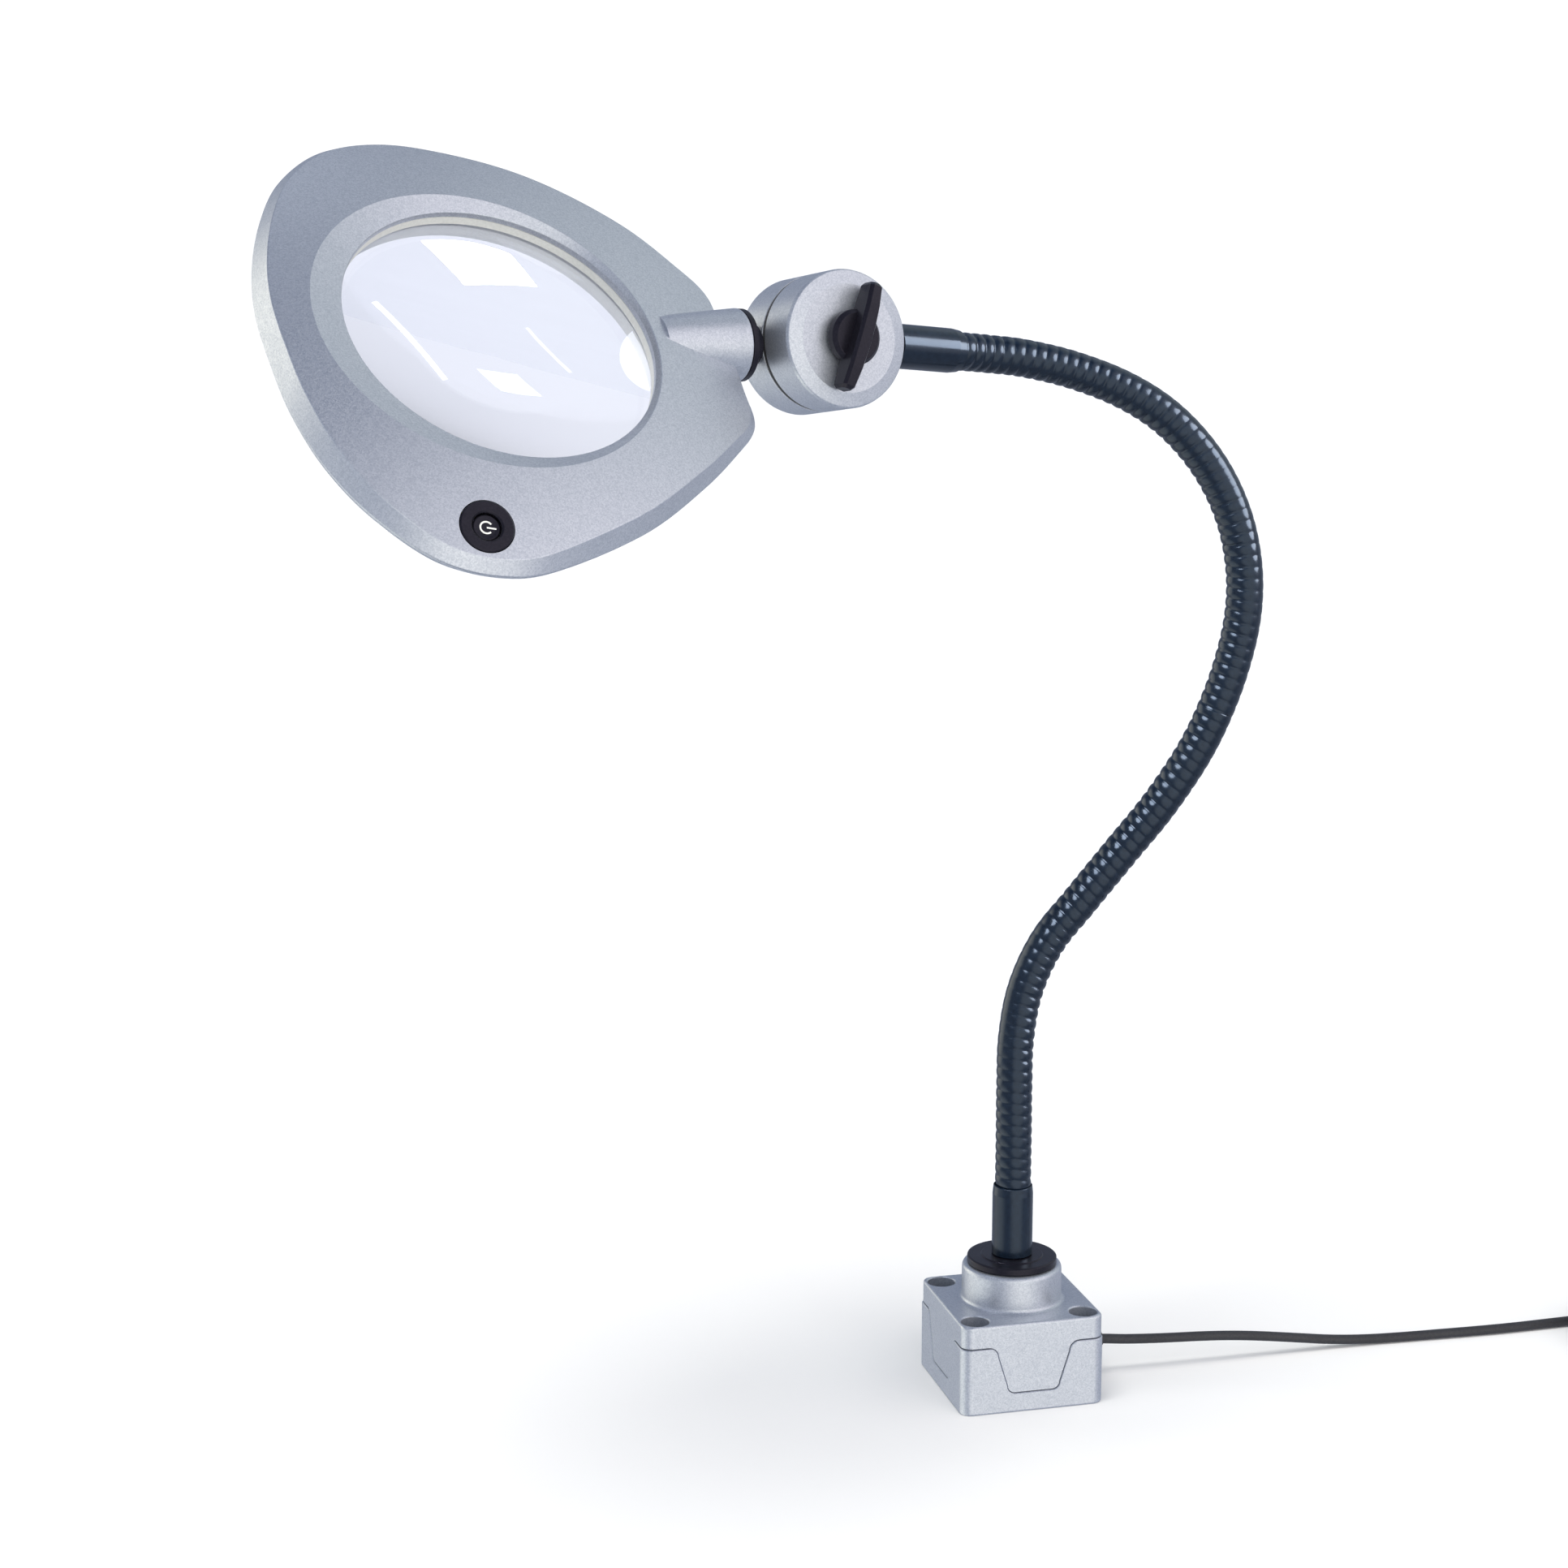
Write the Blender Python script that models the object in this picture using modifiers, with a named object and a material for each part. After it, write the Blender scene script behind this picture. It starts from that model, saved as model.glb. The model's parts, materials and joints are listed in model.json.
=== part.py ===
"""Bench magnifying lamp: a lit lens in a rounded three-cornered head, a clamp joint with a wing knob,
a flexible neck and a small screw-down base with a low-voltage lead.

Frame: metres, +Z up. The origin is the middle of the base's underside. The lead leaves the base's +X
face, and the lamp is seen from -Y.
"""

import bisect
import math

import bmesh
import bpy
from mathutils import Matrix, Vector

MM = 0.001
GAP = 0.3 * MM  # left between pieces that touch

# Base, a square casting in two halves with a round boss on top
BASE_HALF = 29.0 * MM
BASE_HEIGHT = 36.0 * MM
COVER_INSET = 0.4 * MM
CORNER_RADIUS = 4.5 * MM
WALL = 2.6 * MM
FLOOR = 3.0 * MM
SPLIT_Z = 26.7 * MM
CAVITY_HALF = 13.6 * MM
FIXING_SPACING = 44.0 * MM
FIXING_RADIUS = 3.3 * MM
COUNTERBORE_RADIUS = 5.5 * MM
COUNTERBORE_FLOOR = 8.0 * MM
COVER_SCREW_AT = 15.6 * MM
CORD_EXIT_Z = 14.5 * MM

# The cover's tongue in the middle of each side: half widths at its top and bottom, and its tip
TONGUE_TOP = 14.4 * MM
TONGUE_FOOT = 10.6 * MM
TONGUE_TIP_Z = 7.9 * MM
TONGUE_SHOULDER = 4.0 * MM
TONGUE_CORNER = 3.0 * MM

# Flexible neck: its route from the base's boss, and the places where it bends
NECK_RADIUS = 7.07 * MM
NECK_ROUTE = [
    (0, 0, 54.6),
    (0, 0, 68),
    (0, 0, 82),
    (0, 0, 102),
    (0.2, 0.8, 122),
    (1.2, 2.4, 141),
    (5.2, 3.8, 160),
    (13.8, 4.0, 178),
    (26.4, 2.6, 194),
    (41.5, 0.2, 213),
    (56.4, -3, 232.5),
    (69.4, -6.2, 254),
    (78.2, -8.2, 275),
    (83.8, -9, 295),
    (85.8, -9.2, 311),
    (85.2, -8.4, 326),
    (81.8, -7, 341.5),
    (75.2, -5.2, 356.5),
    (65.8, -2.8, 370),
    (53.4, -0.2, 381.8),
    (37.8, 2, 391),
    (19, 3.4, 398),
    (0.2, 3, 402.4),
]
NECK_FIRST_JOINT = 72 * MM  # along the neck, from its start
NECK_JOINT_STEP = 66 * MM
NECK_JOINTS = 6
NECK_END_GAP = 0.8 * MM

# Clamp joint: two halves of a drum on one bolt, with a wing knob in front
DRUM_CENTRE = Vector((-80.6, -9.0, 409.5)) * MM  # on the drum's axis, at the seam
DRUM_AXIS = Vector((0.294, -0.947, 0.130))  # towards the knob
NECK_END_DIRECTION = Vector((0.954, 0.283, -0.095))  # from the drum to the neck
HEAD_AXIS = Vector((0.9555, 0.2945, -0.0156))  # from the lens to the drum
HEAD_UP = Vector((0.220, -0.676, 0.703))  # square to the lens, out of its viewed side
DRUM_RADIUS = 24.7 * MM
NECK_SOCKET_Z = 8.6 * MM  # the neck's axis in front of the seam
HEAD_STEM_Z = -5.9 * MM  # the head's axis behind the seam
UPPER_SLEEVE_END = 52.4 * MM
KNOB_TURN = 73.1  # degrees from the neck's direction to the wing

# Head, drawn with its origin on the stem's axis under the middle of the lens
HEAD_REACH = 127.5 * MM  # lens centre to drum axis
LENS_RADIUS = 59.2 * MM
LENS_EDGE = (-1.7 * MM, 1.1 * MM)
LENS_RISE = 5.2 * MM
APERTURE_RADIUS = 55.5 * MM
APERTURE_Z = 7.85 * MM
LIP_Z = 5.6 * MM  # the underside of the lip round the opening
CREST_RADIUS = 61.7 * MM
CREST_SHIFT = -5.4 * MM
CREST_Z = 10.3 * MM
CROWN_SLOPE = 0.17  # of the face at the crest
CROWN_CURVE = 1.9  # per metre, how its slope grows outwards
RIM_Z = -2.0 * MM
FLARE_NEAR, FLARE_SIDE = 2.7 * MM, 4.0 * MM
UNDERSIDE_Z = -12.8 * MM
SHELL_WALL = 2.0 * MM
WINDOW_RADIUS = 69.3 * MM
BOSS_START, BOSS_END = 60.8 * MM, 94.9 * MM
BOSS_RADII = (10.4 * MM, 13.1 * MM)
STEM_RADIUS = 5.1 * MM
HEAD_OUTLINE = [
    (-81.8, -4),
    (-80.9, -26),
    (-76, -49),
    (-65.6, -70.5),
    (-48, -89.5),
    (-26.5, -96.8),
    (-5, -94),
    (29.4, -81.2),
    (58.8, -63),
    (78.4, -47.8),
    (86.7, -40.2),
    (90.2, -33),
    (91, -22),
    (92.6, 0),
    (94.2, 18),
    (93.2, 26.8),
    (86.5, 37),
    (69.5, 58.4),
    (38.4, 81.2),
    (4.2, 93.8),
    (-17.2, 96.7),
    (-37, 92),
    (-55, 77.5),
    (-67, 59),
    (-76, 37.5),
    (-80.8, 17),
]
HEAD_SIDES = 48
OPTIC_SIDES = 36
DRUM_SIDES = 36
BUTTON_AT = (-32.2 * MM, -81.0 * MM)
BEZEL_RADIUS = 9.1 * MM
HEAD_SCREW_ANGLES = (-135, -60, 52.5, 127.5)  # degrees about the lens
HEAD_SCREW_INSET = 13.5 * MM  # inside the rim

# The lead, from the base's +X face to a coil
CORD_RADIUS = 1.95 * MM
RELIEF_LENGTH = 9.5 * MM
CORD_ROUTE = [
    (30, 0, 14.6),
    (38, 0, 14.4),
    (48, 0, 13.3),
    (58, 0, 12.5),
    (69, 0.1, 11.8),
    (81, 0.3, 11.1),
    (94, 0.6, 10.0),
    (108, 1.0, 8.2),
    (123, 1.3, 5.9),
    (138, 1.4, 3.7),
    (153, 1.2, 2.4),
    (169, 0.6, 2.0),
    (186, -0.2, 2.0),
    (203, -0.9, 2.0),
    (220, -1.1, 2.0),
    (237, -0.6, 2.0),
    (255, 0, 2.0),
]
COIL_CENTRE = Vector((270.0, -26.4, 0.0)) * MM
COIL_MEAN_RADIUS = 22.5 * MM
COIL_COLUMNS, COIL_LAYERS = 3, 4
PLUG_AT = Vector((296.4, -60.8, 4.65)) * MM


def mm(*points):
    return [tuple(value * MM for value in point) for point in points]


def material(name, colour, roughness, metallic=0.0):
    made = bpy.data.materials.new(name)
    made.use_nodes = True
    shader = made.node_tree.nodes["Principled BSDF"]
    shader.inputs["Base Color"].default_value = (*colour, 1)
    shader.inputs["Roughness"].default_value = roughness
    shader.inputs["Metallic"].default_value = metallic
    return made


def clear_scene():
    for leftover in list(bpy.data.objects):
        bpy.data.objects.remove(leftover, do_unlink=True)
    for leftover in list(bpy.data.materials):
        bpy.data.materials.remove(leftover)


def new_collection(name):
    made = bpy.data.collections.new(name)
    bpy.context.scene.collection.children.link(made)
    return made


clear_scene()
PARTS = new_collection("magnifying_lamp")
CUTTERS = new_collection("cutters")
CUTTERS.hide_render = True

SILVER = material("silver_paint", (0.56, 0.59, 0.66), 0.42, 0.55)
BLACK = material("black_plastic", (0.03, 0.03, 0.04), 0.4)
NECK_SKIN = material("neck_sheath", (0.02, 0.022, 0.035), 0.25)
RUBBER = material("black_rubber", (0.025, 0.025, 0.028), 0.65)
STEEL = material("zinc_steel", (0.62, 0.62, 0.6), 0.35, 1.0)
BRASS = material("brass", (0.75, 0.58, 0.3), 0.3, 1.0)
WHITE = material("white_plastic", (0.86, 0.86, 0.82), 0.45)
GLASS = material("lens_glass", (0.93, 0.95, 1.0), 0.03)
FROSTED = material("frosted_plastic", (0.9, 0.92, 0.93), 0.5)
BOARD = material("circuit_board", (0.08, 0.25, 0.14), 0.5)


def frame(origin, x_direction, z_direction):
    """A matrix with its Z along z_direction and its X as near to x_direction as that allows."""
    z = z_direction.normalized()
    x = (x_direction - x_direction.dot(z) * z).normalized()
    y = z.cross(x)
    return Matrix((
        (x.x, y.x, z.x, origin.x),
        (x.y, y.y, z.y, origin.y),
        (x.z, y.z, z.z, origin.z),
        (0, 0, 0, 1),
    ))


def hang(piece, parent):
    """Parents a piece that is already in place."""
    bpy.context.view_layer.update()
    piece.parent = parent
    piece.matrix_parent_inverse = parent.matrix_world.inverted()


def axis_empty(name, matrix, parent=None):
    """An empty on a joint's axis, which carries the pieces that move with it."""
    made = bpy.data.objects.new(name, None)
    made.empty_display_size = 10 * MM
    made.matrix_basis = matrix
    PARTS.objects.link(made)
    if parent:
        hang(made, parent)
    return made


def along(start, direction):
    """The matrix that lays a piece drawn along Z at start, along direction."""
    turn = direction.to_track_quat("Z", "Y").to_matrix().to_4x4()
    return Matrix.Translation(start) @ turn


def add(name, mesh, finish, parent=None, place=None, cutter=False):
    made = bpy.data.objects.new(name, mesh)
    (CUTTERS if cutter else PARTS).objects.link(made)
    if finish and not mesh.materials:
        mesh.materials.append(finish)
    if parent:
        made.parent = parent
    if place:
        made.matrix_basis = place
    if cutter:
        made.hide_render = True
        made.display_type = "WIRE"
    return made


def mesh_from(name, bm, smooth_angle=35):
    bmesh.ops.recalc_face_normals(bm, faces=bm.faces)
    mesh = bpy.data.meshes.new(name)
    bm.to_mesh(mesh)
    bm.free()
    mesh.shade_smooth()
    mesh.set_sharp_from_angle(angle=math.radians(smooth_angle))
    return mesh


def block_mesh(name, size, centre, corner=0.0, steps=4):
    """A box, with its upright edges rounded by corner."""
    bm = bmesh.new()
    bmesh.ops.create_cube(bm, size=1)
    bmesh.ops.scale(bm, vec=size, verts=bm.verts)
    if corner:
        rises = [abs(edge.verts[0].co.z - edge.verts[1].co.z) for edge in bm.edges]
        upright = [edge for edge, rise in zip(bm.edges, rises) if rise > size[2] / 2]
        bmesh.ops.bevel(bm, geom=upright, offset=corner, segments=steps, profile=0.5, affect="EDGES")
    bmesh.ops.translate(bm, vec=centre, verts=bm.verts)
    return mesh_from(name, bm)


def block(name, size, centre, finish=None, corner=0.0, **where):
    return add(name, block_mesh(name, size, centre, corner), finish, **where)


def rod(name, radii, start, end, finish=None, sides=24, **where):
    """A cylinder or cone along Z between two heights."""
    bm = bmesh.new()
    middle = Matrix.Translation((0, 0, (start + end) / 2))
    low, high = radii
    bmesh.ops.create_cone(
        bm, cap_ends=True, segments=sides, radius1=low, radius2=high, depth=end - start, matrix=middle
    )
    return add(name, mesh_from(name, bm), finish, **where)


def drill(name, radius, start, end, sides=24, **where):
    """A straight round cutter along Z."""
    return rod(name, (radius, radius), start, end, sides=sides, cutter=True, **where)


def turned(name, profile, finish=None, sides=32, **where):
    """A profile of (radius, height) turned about Z. It runs down its outer side, and closes on itself
    unless it starts on the axis."""
    mesh = bpy.data.meshes.new(name)
    points = [(radius, 0, height) for radius, height in profile]
    edges = [(i, i + 1) for i in range(len(points) - 1)]
    if profile[0][0] > 0:
        edges.append((len(points) - 1, 0))
    mesh.from_pydata(points, edges, [])
    made = add(name, mesh, finish, **where)
    screw = made.modifiers.new("turn", "SCREW")
    screw.steps = sides
    screw.render_steps = sides
    screw.use_merge_vertices = True
    screw.merge_threshold = 1e-6
    screw.use_smooth_shade = True
    return made


def ring(name, inner, outer, bottom, top, finish=None, sides=32, **where):
    profile = [(inner, top), (outer, top), (outer, bottom), (inner, bottom)]
    return turned(name, profile, finish, sides, **where)


def prism(name, outline, start, end, finish=None, **where):
    """A flat outline in XY, extruded along Z between two heights."""
    bm = bmesh.new()
    face = bm.faces.new([bm.verts.new((x, y, start)) for x, y in outline])
    grown = bmesh.ops.extrude_face_region(bm, geom=[face])
    moved = [item for item in grown["geom"] if isinstance(item, bmesh.types.BMVert)]
    bmesh.ops.translate(bm, vec=(0, 0, end - start), verts=moved)
    return add(name, mesh_from(name, bm), finish, **where)


def combine(target, other, operation="DIFFERENCE"):
    made = target.modifiers.new(f"{operation.lower()}_{other.name}", "BOOLEAN")
    made.operation = operation
    made.object = other
    made.solver = "EXACT"


def cut(target, *cutters):
    for cutter in cutters:
        combine(target, cutter)


def join(target, *pieces):
    for piece in pieces:
        combine(target, piece, "UNION")


def round_edges(target, width, steps=2, angle=40):
    bevel = target.modifiers.new("round", "BEVEL")
    bevel.width = width
    bevel.segments = steps
    bevel.limit_method = "ANGLE"
    bevel.angle_limit = math.radians(angle)


def smooth_path(points, per_span=12, closed=False):
    """Points along a smooth curve through the given ones, by Catmull and Rom's rule."""
    count = len(points)
    path = []
    for i in range(count if closed else count - 1):
        if closed:
            a, b, c, d = (points[(i + k) % count] for k in (-1, 0, 1, 2))
        else:
            a, b, c, d = (points[min(max(i + k, 0), count - 1)] for k in (-1, 0, 1, 2))
        for step in range(per_span):
            t = step / per_span
            square = (2 * a - 5 * b + 4 * c - d) * t**2
            cube = (3 * b - a - 3 * c + d) * t**3
            path.append(0.5 * (2 * b + (c - a) * t + square + cube))
    if not closed:
        path.append(points[-1])
    return path


class Path:
    """A smooth curve that can be read by the length along it."""

    def __init__(self, points):
        self.points = smooth_path(points)
        self.lengths = [0.0]
        for before, after in zip(self.points, self.points[1:]):
            self.lengths.append(self.lengths[-1] + (after - before).length)
        self.length = self.lengths[-1]

    def at(self, distance):
        distance = min(max(distance, 0.0), self.length)
        i = max(bisect.bisect_left(self.lengths, distance), 1)
        part = (distance - self.lengths[i - 1]) / (self.lengths[i] - self.lengths[i - 1])
        return self.points[i - 1].lerp(self.points[i], part)

    def tangent(self, distance):
        step = 1.0 * MM
        return (self.at(distance + step) - self.at(distance - step)).normalized()


def tube(name, points, radius, finish, thickness=None, resolution=2):
    """A round bar along the points. thickness scales its radius at each of them."""
    curve = bpy.data.curves.new(name, "CURVE")
    curve.dimensions = "3D"
    curve.bevel_depth = radius
    curve.bevel_resolution = resolution
    curve.use_fill_caps = True
    spline = curve.splines.new("POLY")
    spline.points.add(len(points) - 1)
    for i, point in enumerate(points):
        spline.points[i].co = (*point, 1)
        spline.points[i].radius = thickness[i] if thickness else 1
    curve.materials.append(finish)
    made = bpy.data.objects.new(name, curve)
    PARTS.objects.link(made)
    return made


# ---------------------------------------------------------------- base


def arc(centre, radius, start, end, steps=3):
    """Points of an arc in a plane, between two angles in degrees."""
    angles = [math.radians(start + (end - start) * k / steps) for k in range(steps + 1)]
    return [(centre[0] + radius * math.cos(a), centre[1] + radius * math.sin(a)) for a in angles]


def tongue_outline(grow):
    """The tongue's outline, across and up, grown on every side by grow. Its shoulders curve outwards."""
    shoulder = TONGUE_SHOULDER - grow
    top = SPLIT_Z + 1.0 * MM
    shoulder_x = TONGUE_TOP + TONGUE_SHOULDER
    corner = TONGUE_CORNER + grow
    corner_x = TONGUE_FOOT + grow - corner
    right = [(shoulder_x, top)]
    right += arc((shoulder_x, SPLIT_Z + GAP - TONGUE_SHOULDER), shoulder, 90, 180)
    right += arc((corner_x, TONGUE_TIP_Z - grow + corner), corner, 0, -90)
    return right + [(-x, y) for x, y in reversed(right)]


def side_turns():
    """The turn about Z, and the matrix, that bring a piece drawn in XZ to each side of the base."""
    stand = Matrix.Rotation(math.radians(90), 4, "X")
    return [Matrix.Rotation(math.radians(90 * k), 4, "Z") @ stand for k in range(4)]


def fixing_places():
    half = FIXING_SPACING / 2
    return [(x, y) for x in (-half, half) for y in (-half, half)]


def cover_screw_places():
    ends = (-COVER_SCREW_AT, COVER_SCREW_AT)
    return [(x, y) for x in ends for y in ends]


def base_cavity():
    """Two crossed boxes, which leave a solid block in each corner."""
    size = 2 * (BASE_HALF - COVER_INSET - WALL)
    height = BASE_HEIGHT - FLOOR - FLOOR
    middle = (0, 0, FLOOR + height / 2)
    return [
        block("cavity_x", (size, 2 * CAVITY_HALF, height), middle, cutter=True),
        block("cavity_y", (2 * CAVITY_HALF, size, height), middle, cutter=True),
    ]


def base_holes():
    """The four fixing holes with their counterbores, and the four small screws' holes."""
    above = BASE_HEIGHT + 4 * MM
    drills = [
        ("fixing", fixing_places(), FIXING_RADIUS, -MM, above, 12),
        ("counterbore", fixing_places(), COUNTERBORE_RADIUS, COUNTERBORE_FLOOR, above, 20),
        ("pilot", cover_screw_places(), 1.55 * MM, -MM, 32 * MM, 8),
        ("head_recess", cover_screw_places(), 2.7 * MM, -MM, 2.2 * MM, 10),
    ]
    cutters = []
    for name, places, radius, start, end, sides in drills:
        for i, (x, y) in enumerate(places):
            place = Matrix.Translation((x, y, 0))
            cutters.append(drill(f"{name}_{i}", radius, start, end, sides, place=place))
    return cutters


def cord_exit():
    return along(Vector((0, 0, CORD_EXIT_Z)), Vector((1, 0, 0)))


def make_base_tray(holes, cavity):
    size = (2 * BASE_HALF, 2 * BASE_HALF, SPLIT_Z)
    tray = block("base_tray", size, (0, 0, SPLIT_Z / 2), SILVER, corner=CORNER_RADIUS)
    round_edges(tray, 0.5 * MM, steps=1, angle=60)
    cut(tray, *cavity)
    for k, turn in enumerate(side_turns()[:2]):
        slot = prism(f"tongue_slot_{k}", tongue_outline(GAP), -40 * MM, 40 * MM, place=turn, cutter=True)
        cut(tray, slot)
    cut(tray, *holes)


def make_base_cover(holes, cavity):
    half = BASE_HALF - COVER_INSET
    low = SPLIT_Z + GAP
    size = (2 * half, 2 * half, BASE_HEIGHT - low)
    cover = block("base_cover", size, (0, 0, (BASE_HEIGHT + low) / 2), SILVER, corner=CORNER_RADIUS)
    round_edges(cover, 0.9 * MM, steps=1, angle=60)
    cut(cover, *cavity)
    for k, turn in enumerate(side_turns()):
        outline = tongue_outline(0)
        join(cover, prism(f"tongue_{k}", outline, half - WALL, half - 0.01 * MM, place=turn, cutter=True))
    profile = mm((0, 50.4), (17.6, 50.4), (19.0, 49.8), (19.5, 48.4), (19.6, 38.2), (21.2, 36.3), (22, 35))
    boss = turned("cover_boss", profile + mm((0, 35)), sides=36, cutter=True)
    join(cover, boss)
    bore = drill("stud_bore", 5.4 * MM, 20 * MM, 60 * MM, 20)
    exit_hole = drill("cord_hole", 3.6 * MM, 20 * MM, 40 * MM, 16, place=cord_exit())
    cut(cover, bore, exit_hole, *holes)


def make_base_hardware():
    for i, (x, y) in enumerate(cover_screw_places()):
        profile = mm((0, 30), (1.25, 29.4), (1.25, 1.9), (2.3, 1.9), (2.3, 0.3), (0, 0.3))
        turned(f"cover_screw_{i + 1}", profile, STEEL, 8, place=Matrix.Translation((x, y, 0)))
    profile = mm((5.4, 53.9), (12.4, 53.9), (12.9, 53.5), (17.1, 53.5), (17.55, 53.1), (17.55, 50.7))
    profile += mm((5.4, 50.7))
    turned("neck_flange", profile, BLACK, 32)
    profile = mm((7.4, 82), (7.6, 81.9), (7.87, 80.6), (7.95, 78.6), (7.95, 54.2), (7.4, 54.2))
    turned("neck_root_sleeve", profile, NECK_SKIN, 24)
    ring("neck_stud", 2.6 * MM, 5.1 * MM, 22.0 * MM, 54.3 * MM, STEEL, 20)
    ring("neck_nut", 6.2 * MM, 9.2 * MM, 24.2 * MM, 30.8 * MM, STEEL, 6)
    ring("neck_lock_washer", 5.4 * MM, 8.8 * MM, 31.1 * MM, 32.6 * MM, STEEL, 20)
    block("terminal_block", (12 * MM, 7 * MM, 8 * MM), (-16 * MM, 0, 7.4 * MM), WHITE, corner=0.8 * MM)


def make_strain_relief():
    """A tapered rubber gland in the +X face, gripped by a flange on each side of the wall."""
    face = BASE_HALF - COVER_INSET
    inside = face - WALL
    outer = [
        (2.3 * MM, face + RELIEF_LENGTH),
        (2.9 * MM, face + RELIEF_LENGTH),
        (4.4 * MM, face + 2.2 * MM),
        (4.9 * MM, face + 1.4 * MM),
        (4.9 * MM, face + GAP),
        (3.3 * MM, face + GAP),
        (3.3 * MM, inside - GAP),
        (4.9 * MM, inside - GAP),
        (4.9 * MM, inside - 2 * MM),
        (2.3 * MM, inside - 2 * MM),
    ]
    turned("strain_relief", outer, RUBBER, 16, place=cord_exit())


# ---------------------------------------------------------------- lead


def coil_bounds():
    half = COIL_COLUMNS * CORD_RADIUS
    return COIL_MEAN_RADIUS - half, COIL_MEAN_RADIUS + half, 2 * CORD_RADIUS * COIL_LAYERS


def make_cord():
    path = Path([Vector(point) * MM for point in CORD_ROUTE])
    count = 34
    points = [path.at(path.length * k / (count - 1)) for k in range(count)]
    tube("cord", points, CORD_RADIUS, RUBBER)
    inner, outer, height = coil_bounds()
    place = Matrix.Translation(COIL_CENTRE)
    ring("cord_coil", inner, outer, 0.05 * MM, height, RUBBER, 40, place=place)
    lying = along(PLUG_AT, Vector((0, -1, 0)))
    profile = mm((0, 11), (4.5, 11), (4.6, 0), (4.6, -9), (4.1, -10.5), (2.9, -12), (2.3, -19), (0, -19))
    turned("plug_body", profile, RUBBER, 16, place=lying)
    turned("plug_barrel", mm((0, 20.8), (2.75, 20.8), (2.75, 11.3), (0, 11.3)), STEEL, 16, place=lying)


# ---------------------------------------------------------------- neck


def neck_path():
    straight = (66 * MM, UPPER_SLEEVE_END, 41 * MM, 30.5 * MM)
    ends = [JOINT_FRAME @ Vector((x, 0, NECK_SOCKET_Z)) for x in straight]
    return Path([Vector(point) * MM for point in NECK_ROUTE] + ends)


def neck_joint_distances():
    return [NECK_FIRST_JOINT + NECK_JOINT_STEP * k for k in range(NECK_JOINTS)]


def neck_joint_frame(path, number):
    """The point and axis of one bend. Odd ones bend the neck in its arch's plane, even ones across it."""
    distance = neck_joint_distances()[number - 1]
    tangent = path.tangent(distance)
    across = Vector((0.2453, 0.9695, 0)).cross(tangent).normalized()
    in_plane = tangent.cross(across)
    return path.at(distance), in_plane if number % 2 else across


def make_neck_segment(path, number, start, end, round_start, round_end):
    """One length of neck. Its ends at a bend are half balls, so that they can turn on each other."""
    steps = (0.02, 0.2, 0.55, 1.0)
    depth = NECK_RADIUS
    first, last = start, end
    distances = []
    scales = []
    if round_start:
        first = start + NECK_END_GAP / 2
        for step in steps[:-1]:
            distances.append(first + step * depth)
            scales.append(math.sqrt(1 - (1 - step) ** 2))
        first += depth
    if round_end:
        last = end - NECK_END_GAP / 2 - depth
    count = round((last - first) / (8 * MM)) + 1
    for k in range(count):
        distances.append(first + (last - first) * k / (count - 1))
        scales.append(1.0)
    if round_end:
        for step in reversed(steps[:-1]):
            distances.append(last + (1 - step) * depth)
            scales.append(math.sqrt(1 - (1 - step) ** 2))
    points = [path.at(distance) for distance in distances]
    return tube(f"neck_segment_{number}", points, NECK_RADIUS, NECK_SKIN, scales, resolution=3)


def make_neck():
    """The neck's lengths, each hung from the bend at its start. It returns the last bend."""
    path = neck_path()
    edges = [0.0, *neck_joint_distances(), path.length]
    bend = None
    for number, (start, end) in enumerate(zip(edges, edges[1:]), 1):
        segment = make_neck_segment(path, number, start, end, number > 1, number <= NECK_JOINTS)
        if number > 1:
            point, axis = neck_joint_frame(path, number - 1)
            bend = axis_empty(f"neck_bend_{number - 1}", along(point, axis), bend)
            hang(segment, bend)
    return bend


# ---------------------------------------------------------------- clamp joint


JOINT_FRAME = frame(DRUM_CENTRE, NECK_END_DIRECTION, DRUM_AXIS)
TILT_FRAME = frame(DRUM_CENTRE, -HEAD_AXIS, DRUM_AXIS)


def radial(z):
    """Lays a piece drawn along Z out along X, at a height on the drum's axis."""
    return Matrix.Translation((0, 0, z)) @ Matrix.Rotation(math.radians(90), 4, "Y")


def make_joint_front(parent):
    profile = mm((3.3, 18.3), (19.3, 18.3), (24.2, 16.9), (24.7, 16.3), (24.7, 0.55), (21.9, 0.55))
    profile += mm((21.9, 15.5), (7.6, 15.5), (7.6, 0.55), (3.3, 0.55))
    front = turned("drum_front", profile, SILVER, DRUM_SIDES, parent=parent)
    lies = radial(NECK_SOCKET_Z)
    cut(front, drill("neck_socket", 4.4 * MM, 12 * MM, 30 * MM, place=lies, parent=parent))
    profile = mm((7.4, 52.4), (7.6, 52.3), (8.0, 51.0), (8.1, 49.0), (8.1, 26.2), (7.4, 26.2))
    sleeve = turned("neck_top_sleeve", profile, NECK_SKIN, 24, parent=parent, place=lies)
    cut(sleeve, drill("drum_clearance", DRUM_RADIUS + GAP, -20 * MM, 30 * MM, DRUM_SIDES, parent=parent))
    ring("neck_top_stud", 2.0 * MM, 4.1 * MM, 12.5 * MM, 30.2 * MM, STEEL, 16, parent=parent, place=lies)
    ring("neck_top_nut", 4.9 * MM, 6.6 * MM, 15.2 * MM, 20.2 * MM, STEEL, 6, parent=parent, place=lies)
    profile = mm((0, 23.4), (2.9, 23.2), (2.9, -14.1), (6.2, -14.1), (6.6, -14.7), (6.6, -17.5), (0, -17.5))
    turned("clamp_bolt", profile, STEEL, 16, parent=parent)


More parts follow.
